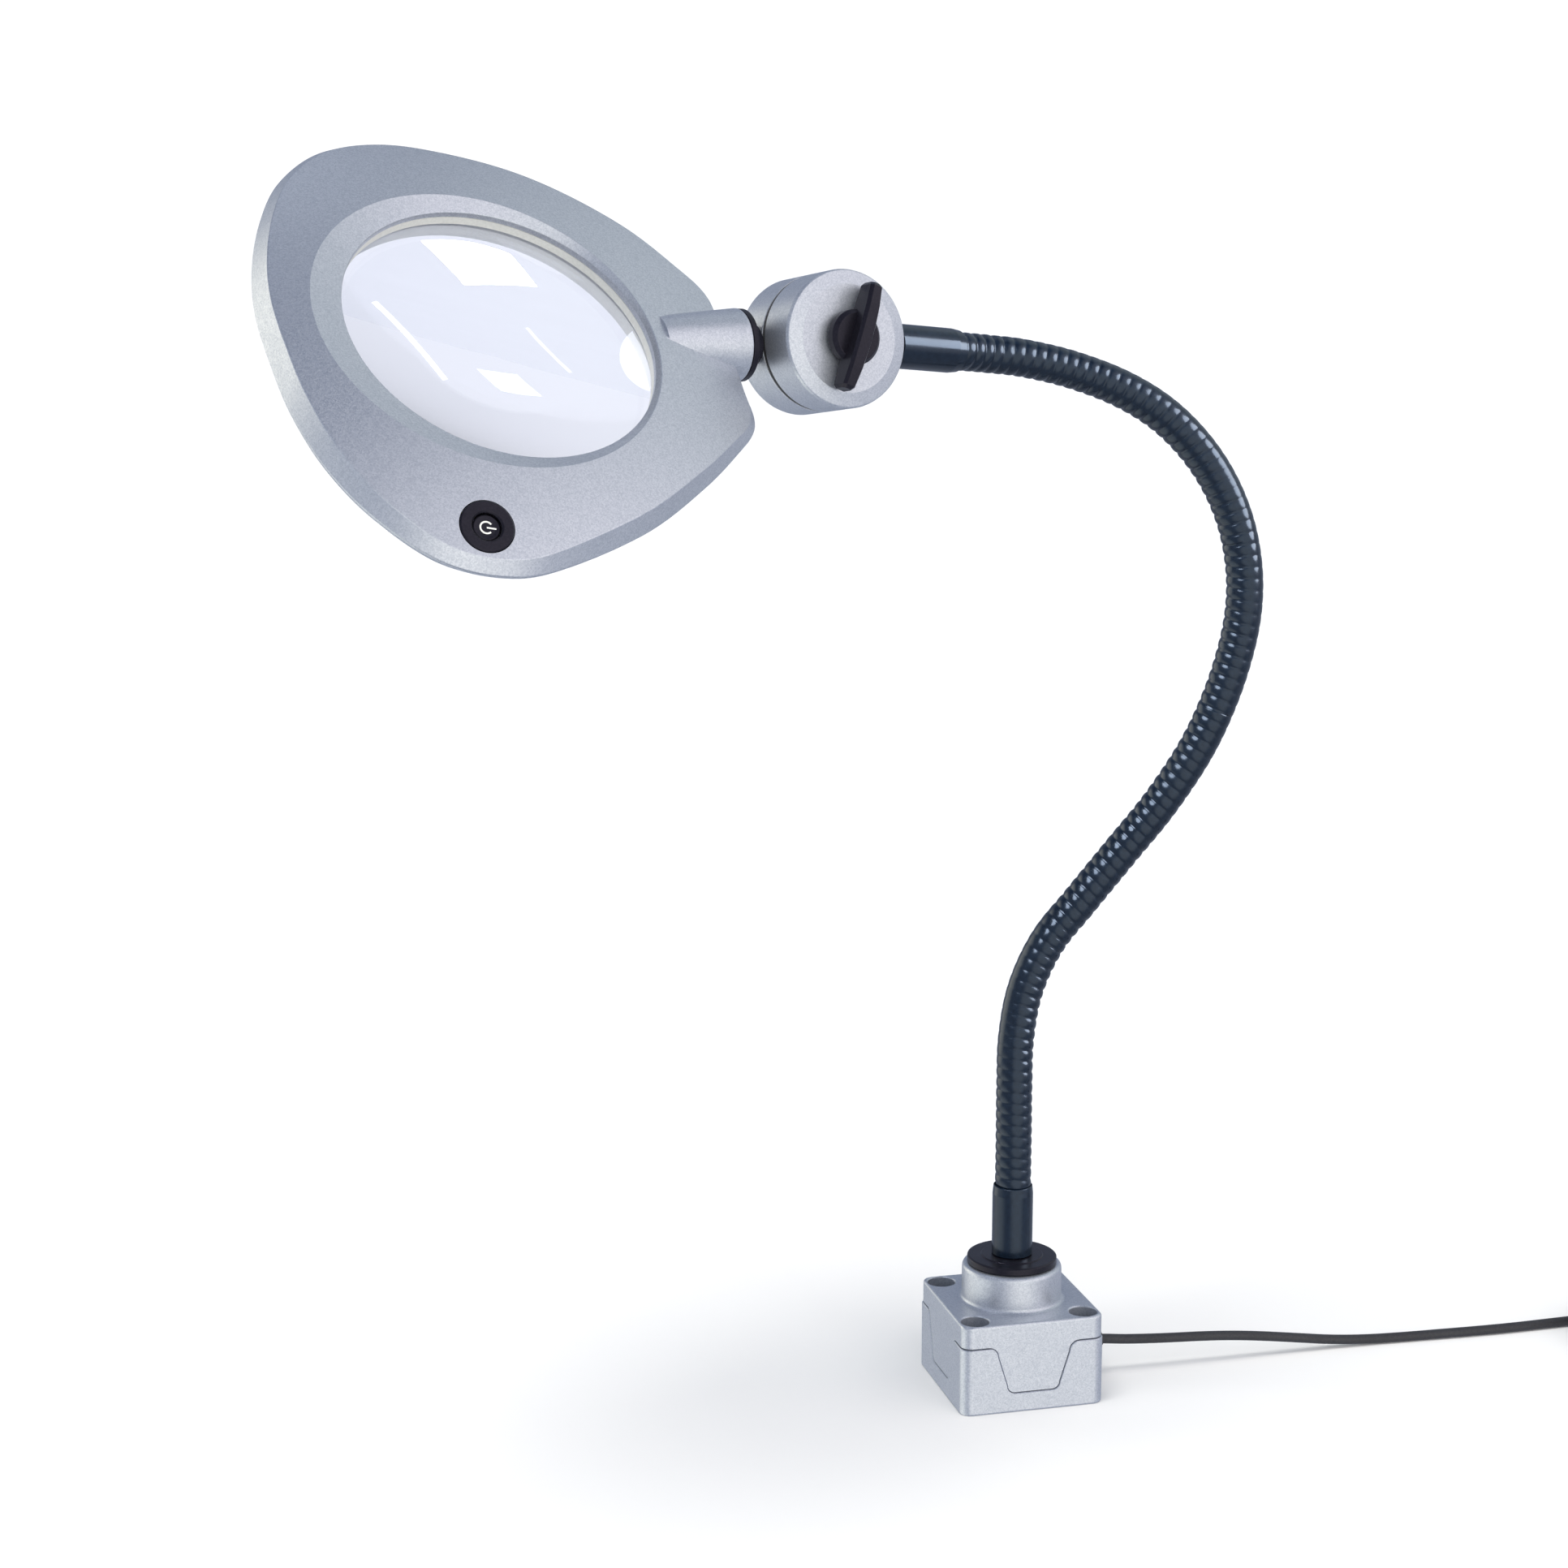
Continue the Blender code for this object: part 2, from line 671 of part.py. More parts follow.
def make_knob(parent):
    """A round disc with a tapered wing across it, and the brass nut moulded into its back."""
    profile = mm((0, 24.4), (8.6, 24.4), (9.6, 23.6), (9.9, 22.8), (9.9, 19.9), (0, 19.9))
    knob = turned("clamp_knob", profile, BLACK, parent=parent)
    half, waist, tip = 19.8 * MM, 3.0 * MM, 2.5 * MM
    outline = [
        (-half, -tip + 0.6 * MM), (-half + 0.9 * MM, -tip), (-7 * MM, -waist), (7 * MM, -waist),
        (half - 0.9 * MM, -tip), (half, -tip + 0.6 * MM), (half, tip - 0.6 * MM), (half - 0.9 * MM, tip),
        (7 * MM, waist), (-7 * MM, waist), (-half + 0.9 * MM, tip), (-half, tip - 0.6 * MM),
    ]
    turn = Matrix.Rotation(math.radians(KNOB_TURN), 4, "Z")
    wing = prism("knob_wing", outline, 20.4 * MM, 30.4 * MM, place=turn, parent=parent, cutter=True)
    join(knob, wing)
    cut(knob, drill("insert_pocket", 4.6 * MM, 15 * MM, 23.7 * MM, 20, parent=parent))
    ring("knob_insert", 3.2 * MM, 4.3 * MM, 20.0 * MM, 23.4 * MM, BRASS, 20, parent=parent)
    ring("knob_washer", 3.2 * MM, 7.2 * MM, 18.6 * MM, 19.6 * MM, STEEL, 20, parent=parent)


def make_joint_rear(parent):
    profile = mm((9.0, -0.55), (9.0, -15.6), (21.9, -15.6), (21.9, -0.55), (24.7, -0.55), (24.7, -16.6))
    profile += mm((24.2, -17.2), (19.3, -18.6), (7.0, -18.6), (7.0, -13.8), (3.3, -13.8), (3.3, -0.55))
    rear = turned("drum_rear", profile, SILVER, DRUM_SIDES, parent=parent)
    lies = radial(HEAD_STEM_Z)
    where = {"place": lies, "parent": parent}
    join(rear, rod("stem_pad", (7.4 * MM,) * 2, 12.6 * MM, 24.2 * MM, cutter=True, **where))
    cut(rear, drill("stem_hole", STEM_RADIUS + GAP, 12 * MM, 30 * MM, **where))
    size = (30 * MM, 30 * MM, 10 * MM)
    cut(rear, block("pad_trim", size, (20 * MM, 0, 4.45 * MM), parent=parent, cutter=True))
    ring("friction_washer", 3.4 * MM, 24.3 * MM, -0.25 * MM, 0.25 * MM, RUBBER, 32, parent=parent)
    ring("head_stem", 3.0 * MM, STEM_RADIUS, 13.0 * MM, 60.0 * MM, STEEL, 20, **where)
    ring("swivel_washer", 5.5 * MM, 8.6 * MM, 51.6 * MM, 53.0 * MM, STEEL, 20, **where)
    ring("swivel_nut", 6.3 * MM, 8.4 * MM, 53.3 * MM, 57.7 * MM, STEEL, 6, **where)


# ---------------------------------------------------------------- head


def head_frame():
    centre = TILT_FRAME @ Vector((HEAD_REACH, 0, HEAD_STEM_Z))
    return frame(centre, HEAD_AXIS, HEAD_UP)


def outline_radii():
    """How far the head's rim is from the lens's middle, by angle."""
    path = smooth_path([Vector((x, y, 0)) * MM for x, y in HEAD_OUTLINE], 16, closed=True)
    polar = sorted((math.atan2(point.y, point.x), point.length) for point in path)
    polar = [(polar[-1][0] - math.tau, polar[-1][1])] + polar + [(polar[0][0] + math.tau, polar[0][1])]
    radii = []
    for k in range(HEAD_SIDES):
        angle = math.tau * k / HEAD_SIDES - math.pi
        i = next(n for n in range(1, len(polar)) if polar[n][0] > angle)
        (low, near), (high, far) = polar[i - 1], polar[i]
        radii.append((angle, near + (far - near) * (angle - low) / (high - low)))
    return radii


def crest_radius(angle):
    """The crest's circle sits off the lens's middle, towards the far end."""
    sideways = CREST_SHIFT * math.sin(angle)
    return CREST_SHIFT * math.cos(angle) + math.sqrt(CREST_RADIUS**2 - sideways**2)


def face_height(outwards):
    return CREST_Z - CROWN_SLOPE * outwards - CROWN_CURVE * outwards**2


def flare(radius, angle):
    return FLARE_NEAR + (FLARE_SIDE - FLARE_NEAR) * min(abs(radius * math.sin(angle)) / (95 * MM), 1)


def loft(name, rings, finish, **where):
    """A closed body through rings of equal length, joined last to first."""
    bm = bmesh.new()
    rows = [[bm.verts.new(point) for point in points] for points in rings]
    for here, there in zip(rows, rows[1:] + rows[:1]):
        for k in range(len(here)):
            after = (k + 1) % len(here)
            bm.faces.new((here[k], here[after], there[after], there[k]))
    return add(name, mesh_from(name, bm), finish, **where)


def polar_ring(radii, reach, height):
    """One ring of the head: reach and height are functions of (rim radius, angle)."""
    points = []
    for angle, rim in radii:
        radius = reach(rim, angle)
        level = height(rim, angle) if callable(height) else height
        points.append((radius * math.cos(angle), radius * math.sin(angle), level))
    return points


def inset(amount):
    """A ring's reach that much inside the rim."""
    return lambda rim, angle: rim - amount


def inset_to(radius):
    """A ring's reach that is the same all round."""
    return lambda rim, angle: radius


def top_shell_rings(radii):
    """The shell's section, from the lip over the crest and the face to the rim, and back inside."""
    def edge(rim, angle):
        return rim - flare(rim, angle)

    def edge_height(rim, angle):
        return face_height(edge(rim, angle) - crest_radius(angle))

    def part_way(share):
        def reach(rim, angle):
            crest = crest_radius(angle)
            return crest + share * (edge(rim, angle) - crest)

        def height(rim, angle):
            return face_height(share * (edge(rim, angle) - crest_radius(angle)))

        return reach, height

    def crest(rim, angle):
        return crest_radius(angle)

    def inner_edge(rim, angle):
        return edge(rim, angle) - 2.2 * MM

    def inner_crest(rim, angle):
        return max(crest_radius(angle), 58.4 * MM) + 0.6 * MM

    def lowered(height):
        return lambda rim, angle: height(rim, angle) - SHELL_WALL

    near_reach, near_height = part_way(0.35)
    return [
        polar_ring(radii, inset_to(APERTURE_RADIUS), LIP_Z),
        polar_ring(radii, inset_to(APERTURE_RADIUS), APERTURE_Z),
        polar_ring(radii, crest, CREST_Z),
        polar_ring(radii, near_reach, near_height),
        polar_ring(radii, *part_way(0.7)),
        polar_ring(radii, edge, edge_height),
        polar_ring(radii, inset(0), RIM_Z),
        polar_ring(radii, inset(2.4 * MM), RIM_Z),
        polar_ring(radii, inner_edge, lowered(edge_height)),
        polar_ring(radii, near_reach, lowered(near_height)),
        polar_ring(radii, inner_crest, CREST_Z - 2.6 * MM),
        polar_ring(radii, inset_to(58.6 * MM), LIP_Z),
    ]


def boss_cone(name, grow, **where):
    """The tapered boss about the stem's axis, along the head's X."""
    slope = (BOSS_RADII[1] - BOSS_RADII[0]) / (BOSS_END - BOSS_START)
    start = BOSS_START + 1.5 * MM
    radii = (BOSS_RADII[0] + slope * 1.5 * MM + grow, BOSS_RADII[1] + grow)
    return rod(name, radii, start, BOSS_END, sides=36, place=radial(0), **where)


def head_screw_places(radii):
    """The matrix of each screw that holds the head's shells together, and the top of its post."""
    places = []
    for degrees in HEAD_SCREW_ANGLES:
        turn = math.radians(degrees)
        angle, rim = min(radii, key=lambda pair: abs(pair[0] - turn))
        reach = rim - HEAD_SCREW_INSET
        top = face_height(reach - crest_radius(angle)) - SHELL_WALL / 2
        places.append((Matrix.Translation((reach * math.cos(angle), reach * math.sin(angle), 0)), top))
    return places


def make_top_shell(parent, radii):
    shell = loft("head_top_shell", top_shell_rings(radii), SILVER, parent=parent)
    join(shell, boss_cone("head_boss", 0, parent=parent, cutter=True))
    places = head_screw_places(radii)
    for k, (place, top) in enumerate(places):
        join(shell, drill(f"screw_post_{k}", 3 * MM, -10 * MM, top, 12, place=place, parent=parent))
    lying = {"place": radial(0), "parent": parent}
    cut(
        shell,
        drill("lens_room", 61.7 * MM, -20 * MM, 5.4 * MM, HEAD_SIDES, parent=parent),
        drill("boss_hollow", 9.2 * MM, 60 * MM, 76.3 * MM, **lying),
        drill("stem_bore", STEM_RADIUS + 0.4 * MM, 70 * MM, 110 * MM, 20, **lying),
        drill("bezel_hole", BEZEL_RADIUS + GAP, -12 * MM, 6 * MM, place=button_place(), parent=parent),
    )
    for k, (place, _) in enumerate(places):
        cut(shell, drill(f"post_bore_{k}", 1.4 * MM, -20 * MM, 1.5 * MM, 8, place=place, parent=parent))


def make_bottom_cover(parent, radii):
    lip_z = RIM_Z - GAP
    window = inset_to(WINDOW_RADIUS)
    rings = [
        polar_ring(radii, inset(0.5 * MM), lip_z),
        polar_ring(radii, inset(1.0 * MM), RIM_Z - 1.6 * MM),
        polar_ring(radii, inset(7.6 * MM), -10.6 * MM),
        polar_ring(radii, inset(9.6 * MM), UNDERSIDE_Z),
        polar_ring(radii, window, UNDERSIDE_Z),
        polar_ring(radii, window, -11.0 * MM),
        polar_ring(radii, inset(10.0 * MM), -11.0 * MM),
        polar_ring(radii, inset(9.2 * MM), -9.8 * MM),
        polar_ring(radii, inset(3.2 * MM), RIM_Z - 1.6 * MM),
        polar_ring(radii, inset(2.8 * MM), lip_z),
    ]
    cover = loft("head_bottom_cover", rings, SILVER, parent=parent)
    cut(cover, boss_cone("boss_room", 0.35 * MM, parent=parent, cutter=True))
    profile = mm((0, 0.5), (1.1, 0.2), (1.1, -13.1), (2.6, -13.1), (2.2, -14.2), (0, -14.4))
    for k, (place, _) in enumerate(head_screw_places(radii)):
        cut(cover, drill(f"screw_hole_{k}", 1.5 * MM, -20 * MM, 0, 8, place=place, parent=parent))
        turned(f"head_screw_{k + 1}", profile, STEEL, 8, place=place, parent=parent)


def make_optics(parent):
    low, high = LENS_EDGE
    curve = (LENS_RADIUS**2 + LENS_RISE**2) / (2 * LENS_RISE)
    steps = 4
    domed = []
    for k in range(steps + 1):
        radius = LENS_RADIUS * k / steps
        domed.append((radius, math.sqrt(curve**2 - radius**2) - (curve - LENS_RISE)))
    profile = [(radius, high + rise) for radius, rise in domed]
    profile += [(radius, low - rise) for radius, rise in reversed(domed)]
    turned("lens", profile, GLASS, OPTIC_SIDES, parent=parent)
    ring("lens_light_wall", 55.8 * MM, 58.0 * MM, 2.1 * MM, 5.3 * MM, WHITE, OPTIC_SIDES, parent=parent)
    ring("lens_gasket", LENS_RADIUS + GAP, 61.2 * MM, low, high, RUBBER, OPTIC_SIDES, parent=parent)
    profile = mm((57.2, -3.2), (58.4, -2.0), (61.2, -2.0), (61.2, -4.2), (59.2, -4.2), (59.2, -12.8))
    profile += mm((57.2, -12.8))
    turned("lens_retainer", profile, WHITE, OPTIC_SIDES, parent=parent)
    board = ring("led_board", 60.0 * MM, 68.6 * MM, -7.0 * MM, -5.4 * MM, BOARD, OPTIC_SIDES, parent=parent)
    size = (20 * MM, 26 * MM, 10 * MM)
    cut(board, block("board_gap", size, (66 * MM, 0, -6 * MM), parent=parent, cutter=True))
    ring("diffuser", 59.5 * MM, 69.0 * MM, -12.6 * MM, -11.4 * MM, FROSTED, OPTIC_SIDES, parent=parent)
    profile = mm((5.4, 102.2), (7.4, 102.2), (7.4, 97.5), (12.9, 97.5), (12.9, 95.2), (5.4, 95.2))
    turned("swivel_ring", profile, BLACK, 24, place=radial(0), parent=parent)


def button_place():
    """The face's point and slope under the switch."""
    x, y = BUTTON_AT
    angle = math.atan2(y, x)
    outwards = math.hypot(x, y) - crest_radius(angle)
    slope = CROWN_SLOPE + 2 * CROWN_CURVE * outwards
    normal = Vector((slope * math.cos(angle), slope * math.sin(angle), 1)).normalized()
    return along(Vector((x, y, face_height(outwards))), normal)


def make_switch(parent, moving):
    profile = mm((4.95, 0.0), (5.3, 0.35), (8.8, 0.35), (9.1, 0.05), (9.1, -1.2), (8.3, -1.2), (8.3, -3.4))
    turned("switch_bezel", profile + mm((4.95, -3.4)), BLACK, 24, parent=parent, place=button_place())
    profile = mm((0, -1.0), (3.2, -0.95), (4.3, -0.75), (4.65, -1.0), (4.65, -3.6), (1.4, -3.6), (1.4, -4.6))
    turned("switch_button", profile + mm((0, -4.6)), BLACK, 20, parent=moving)
    stem_foot = button_place() @ Vector((0, 0, -4.6 * MM))
    board_top = -5.8 * MM
    size = (34 * MM, 12 * MM, 1.6 * MM)
    block("driver_board", size, (-19 * MM, -78.5 * MM, board_top - size[2] / 2), BOARD, parent=parent)
    size = (6 * MM, 6 * MM, 4.4 * MM)
    middle = (stem_foot.x, stem_foot.y, board_top + GAP + size[2] / 2)
    block("tact_switch", size, middle, BLACK, parent=parent)


def main():
    holes = base_holes()
    cavity = base_cavity()
    make_base_tray(holes, cavity)
    make_base_cover(holes, cavity)
    make_base_hardware()
    make_strain_relief()
    make_cord()
    last_bend = make_neck()
    joint = axis_empty("clamp_joint_axis", JOINT_FRAME, last_bend)
    make_joint_front(joint)
    make_knob(axis_empty("knob_axis", JOINT_FRAME, joint))
    tilt = axis_empty("head_tilt_axis", TILT_FRAME, joint)
    make_joint_rear(tilt)
    head = axis_empty("head_swivel_axis", head_frame(), tilt)
    radii = outline_radii()
    make_top_shell(head, radii)
    make_bottom_cover(head, radii)
    make_optics(head)
    make_switch(head, axis_empty("button_axis", head_frame() @ button_place(), head))


main()
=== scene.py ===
"""Looks of the bench magnifying lamp: fine surfaces, materials, lead, light and camera."""

import bisect
import json
import math

import bmesh
import bpy
from mathutils import Matrix, Vector

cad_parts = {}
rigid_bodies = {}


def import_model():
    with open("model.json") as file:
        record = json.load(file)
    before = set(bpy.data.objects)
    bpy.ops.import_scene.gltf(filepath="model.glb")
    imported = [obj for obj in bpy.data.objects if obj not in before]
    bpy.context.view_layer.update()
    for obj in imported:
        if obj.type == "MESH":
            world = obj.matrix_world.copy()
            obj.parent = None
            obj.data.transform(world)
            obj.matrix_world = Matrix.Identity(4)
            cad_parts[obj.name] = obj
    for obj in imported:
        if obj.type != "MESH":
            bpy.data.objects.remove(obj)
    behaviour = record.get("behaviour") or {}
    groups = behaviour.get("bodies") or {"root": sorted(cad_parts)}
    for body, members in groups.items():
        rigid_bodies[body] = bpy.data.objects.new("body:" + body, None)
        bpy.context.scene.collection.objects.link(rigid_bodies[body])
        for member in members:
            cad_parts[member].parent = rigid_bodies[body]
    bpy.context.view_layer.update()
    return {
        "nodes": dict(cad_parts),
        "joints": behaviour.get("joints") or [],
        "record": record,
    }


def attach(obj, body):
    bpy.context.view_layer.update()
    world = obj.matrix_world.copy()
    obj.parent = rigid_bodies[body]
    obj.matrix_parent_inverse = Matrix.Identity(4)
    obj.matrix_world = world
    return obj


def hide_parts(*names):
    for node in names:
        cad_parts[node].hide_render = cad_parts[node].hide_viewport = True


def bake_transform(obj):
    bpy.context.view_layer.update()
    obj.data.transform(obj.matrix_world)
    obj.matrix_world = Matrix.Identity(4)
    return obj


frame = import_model()
JOINTS = {joint["name"]: joint for joint in frame["joints"]}

MM = 0.001

# Base
BASE_HALF = 29.0 * MM
COVER_HALF = 28.6 * MM
WALL = 2.6 * MM
SPLIT_Z = 26.7 * MM
BASE_TOP = 36.0 * MM
GAP = 0.3 * MM
TONGUE_TOP, TONGUE_FOOT, TONGUE_TIP_Z = 14.4 * MM, 10.6 * MM, 7.9 * MM
TONGUE_SHOULDER, TONGUE_CORNER = 4.0 * MM, 3.0 * MM
FIXING_AT = 22.0 * MM
COVER_SCREW_AT = 15.6 * MM
CORD_EXIT_Z = 14.5 * MM

# Neck
NECK_RADIUS = 7.07 * MM
RIB_PITCH = 4.3 * MM
RIB_DEPTH = 0.62 * MM
NECK_ROUTE = [
    (0, 0, 54.6),
    (0, 0, 68),
    (0, 0, 82),
    (0, 0, 102),
    (0.2, 0.8, 122),
    (1.2, 2.4, 141),
    (5.2, 3.8, 160),
    (13.8, 4.0, 178),
    (26.4, 2.6, 194),
    (41.5, 0.2, 213),
    (56.4, -3, 232.5),
    (69.4, -6.2, 254),
    (78.2, -8.2, 275),
    (83.8, -9, 295),
    (85.8, -9.2, 311),
    (85.2, -8.4, 326),
    (81.8, -7, 341.5),
    (75.2, -5.2, 356.5),
    (65.8, -2.8, 370),
    (53.4, -0.2, 381.8),
    (37.8, 2, 391),
    (19, 3.4, 398),
    (0.2, 3, 402.4),
]
NECK_END_STOPS = (66, 52.4, 41, 30.5)  # from the drum's axis, in mm
NECK_FIRST_JOINT, NECK_JOINT_STEP, NECK_JOINTS = 72 * MM, 66 * MM, 6
BEND_REACH = 30 * MM  # of the skin, on each side of a bend

# Clamp joint
NECK_END_DIRECTION = Vector((0.954, 0.283, -0.095))
NECK_SOCKET_Z = 8.6 * MM
KNOB_TURN = 73.1

# Head
HEAD_UP = Vector((0.220, -0.676, 0.703))
APERTURE_RADIUS, APERTURE_Z, LIP_Z = 55.5 * MM, 7.85 * MM, 5.6 * MM
CREST_RADIUS, CREST_SHIFT, CREST_Z = 61.7 * MM, -5.4 * MM, 10.3 * MM
CROWN_SLOPE, CROWN_CURVE = 0.17, 1.9
RIM_Z = -2.0 * MM
FLARE_NEAR, FLARE_SIDE = 2.7 * MM, 4.0 * MM
SHELL_WALL = 2.0 * MM
UNDERSIDE_Z = -12.8 * MM
WINDOW_RADIUS = 69.3 * MM
BUTTON_AT = (-32.2 * MM, -81.0 * MM)
HEAD_SCREW_ANGLES = (-135, -60, 52.5, 127.5)  # degrees about the lens
HEAD_SCREW_INSET = 13.5 * MM  # inside the rim
HEAD_OUTLINE = [
    (-81.8, -4),
    (-80.9, -26),
    (-76, -49),
    (-65.6, -70.5),
    (-48, -89.5),
    (-26.5, -96.8),
    (-5, -94),
    (29.4, -81.2),
    (58.8, -63),
    (78.4, -47.8),
    (86.7, -40.2),
    (90.2, -33),
    (91, -22),
    (92.6, 0),
    (94.2, 18),
    (93.2, 26.8),
    (86.5, 37),
    (69.5, 58.4),
    (38.4, 81.2),
    (4.2, 93.8),
    (-17.2, 96.7),
    (-37, 92),
    (-55, 77.5),
    (-67, 59),
    (-76, 37.5),
    (-80.8, 17),
]
HEAD_SIDES = 288

# A small softbox and a thin strip that the lens mirrors, each with the way its first side runs
WINDOW_AT, WINDOW_SIDE = Vector((0.181, 0.292, 1.308)), Vector((0.73, 0.54, -0.41))
STRIP_AT, STRIP_SIDE = Vector((0.07, -0.06, 1.365)), Vector((0.56, -0.79, -0.26))

# Lead: the same route as the CAD tube, then a coil of turns beside and on each other
CORD_DIAMETER = 3.9 * MM
CORD_ROUTE = [
    (30, 0, 14.6),
    (38, 0, 14.4),
    (48, 0, 13.3),
    (58, 0, 12.5),
    (69, 0.1, 11.8),
    (81, 0.3, 11.1),
    (94, 0.6, 10.0),
    (108, 1.0, 8.2),
    (123, 1.3, 5.9),
    (138, 1.4, 3.7),
    (153, 1.2, 2.4),
    (169, 0.6, 2.0),
    (186, -0.2, 2.0),
    (203, -0.9, 2.0),
    (220, -1.1, 2.0),
    (237, -0.6, 2.0),
    (255, 0, 2.0),
]
COIL_CENTRE = Vector((270.0, -26.4, 0)) * MM
COIL_RADII = (26.4 * MM, 22.5 * MM, 18.6 * MM)  # outer, middle and inner column
COIL_FLOOR = 2.0 * MM
# The column and layer of each turn, in the order in which they are wound
COIL_TURNS = [
    (0, 0), (1, 0), (2, 0), (2, 1), (1, 1), (1, 2), (2, 2), (2, 3), (1, 3), (0, 3), (0, 2), (0, 1),
]
PLUG_AT = Vector((296.4, -60.8, 4.65)) * MM


def millimetres(points):
    return [Vector(point) * MM for point in points]


# ---------------------------------------------------------------- materials


def node(tree, kind, **settings):
    made = tree.nodes.new(kind)
    for key, value in settings.items():
        setattr(made, key, value)
    return made


def noise(tree, place, size, detail=2.0):
    """Noise whose features are about that size, in metres."""
    made = node(tree, "ShaderNodeTexNoise")
    made.inputs["Scale"].default_value = 0.5 / size
    made.inputs["Detail"].default_value = detail
    tree.links.new(place, made.inputs["Vector"])
    return made.outputs["Fac"]


def spread(tree, value, low, high, start=0.3, end=0.7):
    """Maps a texture's middle range onto low to high."""
    made = node(tree, "ShaderNodeMapRange")
    for name, number in (("From Min", start), ("From Max", end), ("To Min", low), ("To Max", high)):
        made.inputs[name].default_value = number
    tree.links.new(value, made.inputs["Value"])
    return made.outputs["Result"]


def two_colours(tree, factor, first, second):
    made = node(tree, "ShaderNodeMix", data_type="RGBA")
    made.inputs["A"].default_value = (*first, 1)
    made.inputs["B"].default_value = (*second, 1)
    tree.links.new(factor, made.inputs["Factor"])
    return made.outputs["Result"]


def raised(tree, height, distance, strength=1.0, onto=None):
    made = node(tree, "ShaderNodeBump")
    made.inputs["Strength"].default_value = strength
    made.inputs["Distance"].default_value = distance
    tree.links.new(height, made.inputs["Height"])
    if onto:
        tree.links.new(onto, made.inputs["Normal"])
    return made.outputs["Normal"]


def start_material(name):
    made = bpy.data.materials.new(name)
    made.use_nodes = True
    tree = made.node_tree
    shader = tree.nodes["Principled BSDF"]
    place = node(tree, "ShaderNodeTexCoord").outputs["Object"]
    return made, tree, shader, place


def silver_paint():
    """Satin silver paint: fine metal flake of mixed tilt and tone over a faint orange peel."""
    made, tree, shader, place = start_material("silver_paint")
    flake = node(tree, "ShaderNodeTexVoronoi")
    flake.inputs["Scale"].default_value = 1 / (0.42 * MM)
    tree.links.new(place, flake.inputs["Vector"])
    tone = node(tree, "ShaderNodeSeparateColor")
    tree.links.new(flake.outputs["Color"], tone.inputs["Color"])
    mixed = spread(tree, tone.outputs["Red"], 0.0, 1.0, 0.0, 1.0)
    colour = two_colours(tree, mixed, (0.51, 0.545, 0.605), (0.66, 0.69, 0.745))
    tree.links.new(colour, shader.inputs["Base Color"])
    tree.links.new(spread(tree, tone.outputs["Green"], 0.33, 0.49, 0, 1), shader.inputs["Roughness"])
    shader.inputs["Metallic"].default_value = 0.8
    shader.inputs["Coat Weight"].default_value = 0.12
    shader.inputs["Coat Roughness"].default_value = 0.3
    peel = raised(tree, noise(tree, place, 0.9 * MM, 3), 0.02 * MM, 0.5)
    flat = raised(tree, tone.outputs["Blue"], 0.012 * MM, 0.55, peel)
    tree.links.new(flat, shader.inputs["Normal"])
    return made


def moulded(name, dark, light, rough, grain, depth, coat=0.0, sheen=0.0, tint=(1, 1, 1)):
    """A plain moulded or machined surface: a fine grain in tone and height, and patches of wear."""
    made, tree, shader, place = start_material(name)
    fine = noise(tree, place, grain, 3)
    wear = noise(tree, place, 9 * MM, 2)
    tree.links.new(two_colours(tree, spread(tree, fine, 0, 1), dark, light), shader.inputs["Base Color"])
    tree.links.new(spread(tree, wear, *rough), shader.inputs["Roughness"])
    tree.links.new(raised(tree, fine, depth, 0.6), shader.inputs["Normal"])
    shader.inputs["Specular Tint"].default_value = (*tint, 1)
    shader.inputs["Coat Weight"].default_value = coat
    shader.inputs["Coat Roughness"].default_value = 0.12
    shader.inputs["Sheen Weight"].default_value = sheen
    return made


def brushed_metal(name, dark, light, rough):
    """Turned or drawn metal, with fine streaks."""
    made, tree, shader, place = start_material(name)
    stretch = node(tree, "ShaderNodeMapping")
    stretch.inputs["Scale"].default_value = (1, 1, 9)
    tree.links.new(place, stretch.inputs["Vector"])
    streak = noise(tree, stretch.outputs["Vector"], 0.7 * MM, 4)
    tree.links.new(two_colours(tree, spread(tree, streak, 0, 1), dark, light), shader.inputs["Base Color"])
    tree.links.new(spread(tree, streak, *rough), shader.inputs["Roughness"])
    tree.links.new(raised(tree, streak, 0.01 * MM, 0.5), shader.inputs["Normal"])
    shader.inputs["Metallic"].default_value = 1.0
    return made


def clear_glass():
    """Optical glass with a faint cool cast. Its surface is polished, with only a trace of polish marks."""
    made, tree, shader, place = start_material("lens_glass")
    shader.inputs["Base Color"].default_value = (0.80, 0.825, 0.93, 1)
    shader.inputs["Transmission Weight"].default_value = 1.0
    shader.inputs["IOR"].default_value = 1.52
    polish = noise(tree, place, 4 * MM, 2)
    tree.links.new(spread(tree, polish, 0.0, 0.004), shader.inputs["Roughness"])
    return made


def frosted():
    """Milky diffuser plastic that lets light through."""
    made, tree, shader, place = start_material("frosted_plastic")
    grain = noise(tree, place, 0.5 * MM, 2)
    tone = two_colours(tree, spread(tree, grain, 0, 1), (0.90, 0.915, 0.93), (0.96, 0.97, 0.98))
    tree.links.new(tone, shader.inputs["Base Color"])
    tree.links.new(spread(tree, grain, 0.42, 0.55), shader.inputs["Roughness"])
    tree.links.new(raised(tree, grain, 0.02 * MM, 0.5), shader.inputs["Normal"])
    shader.inputs["Subsurface Weight"].default_value = 0.35
    shader.inputs["Subsurface Radius"].default_value = (0.003, 0.003, 0.0035)
    shader.inputs["Subsurface Scale"].default_value = 0.6
    return made


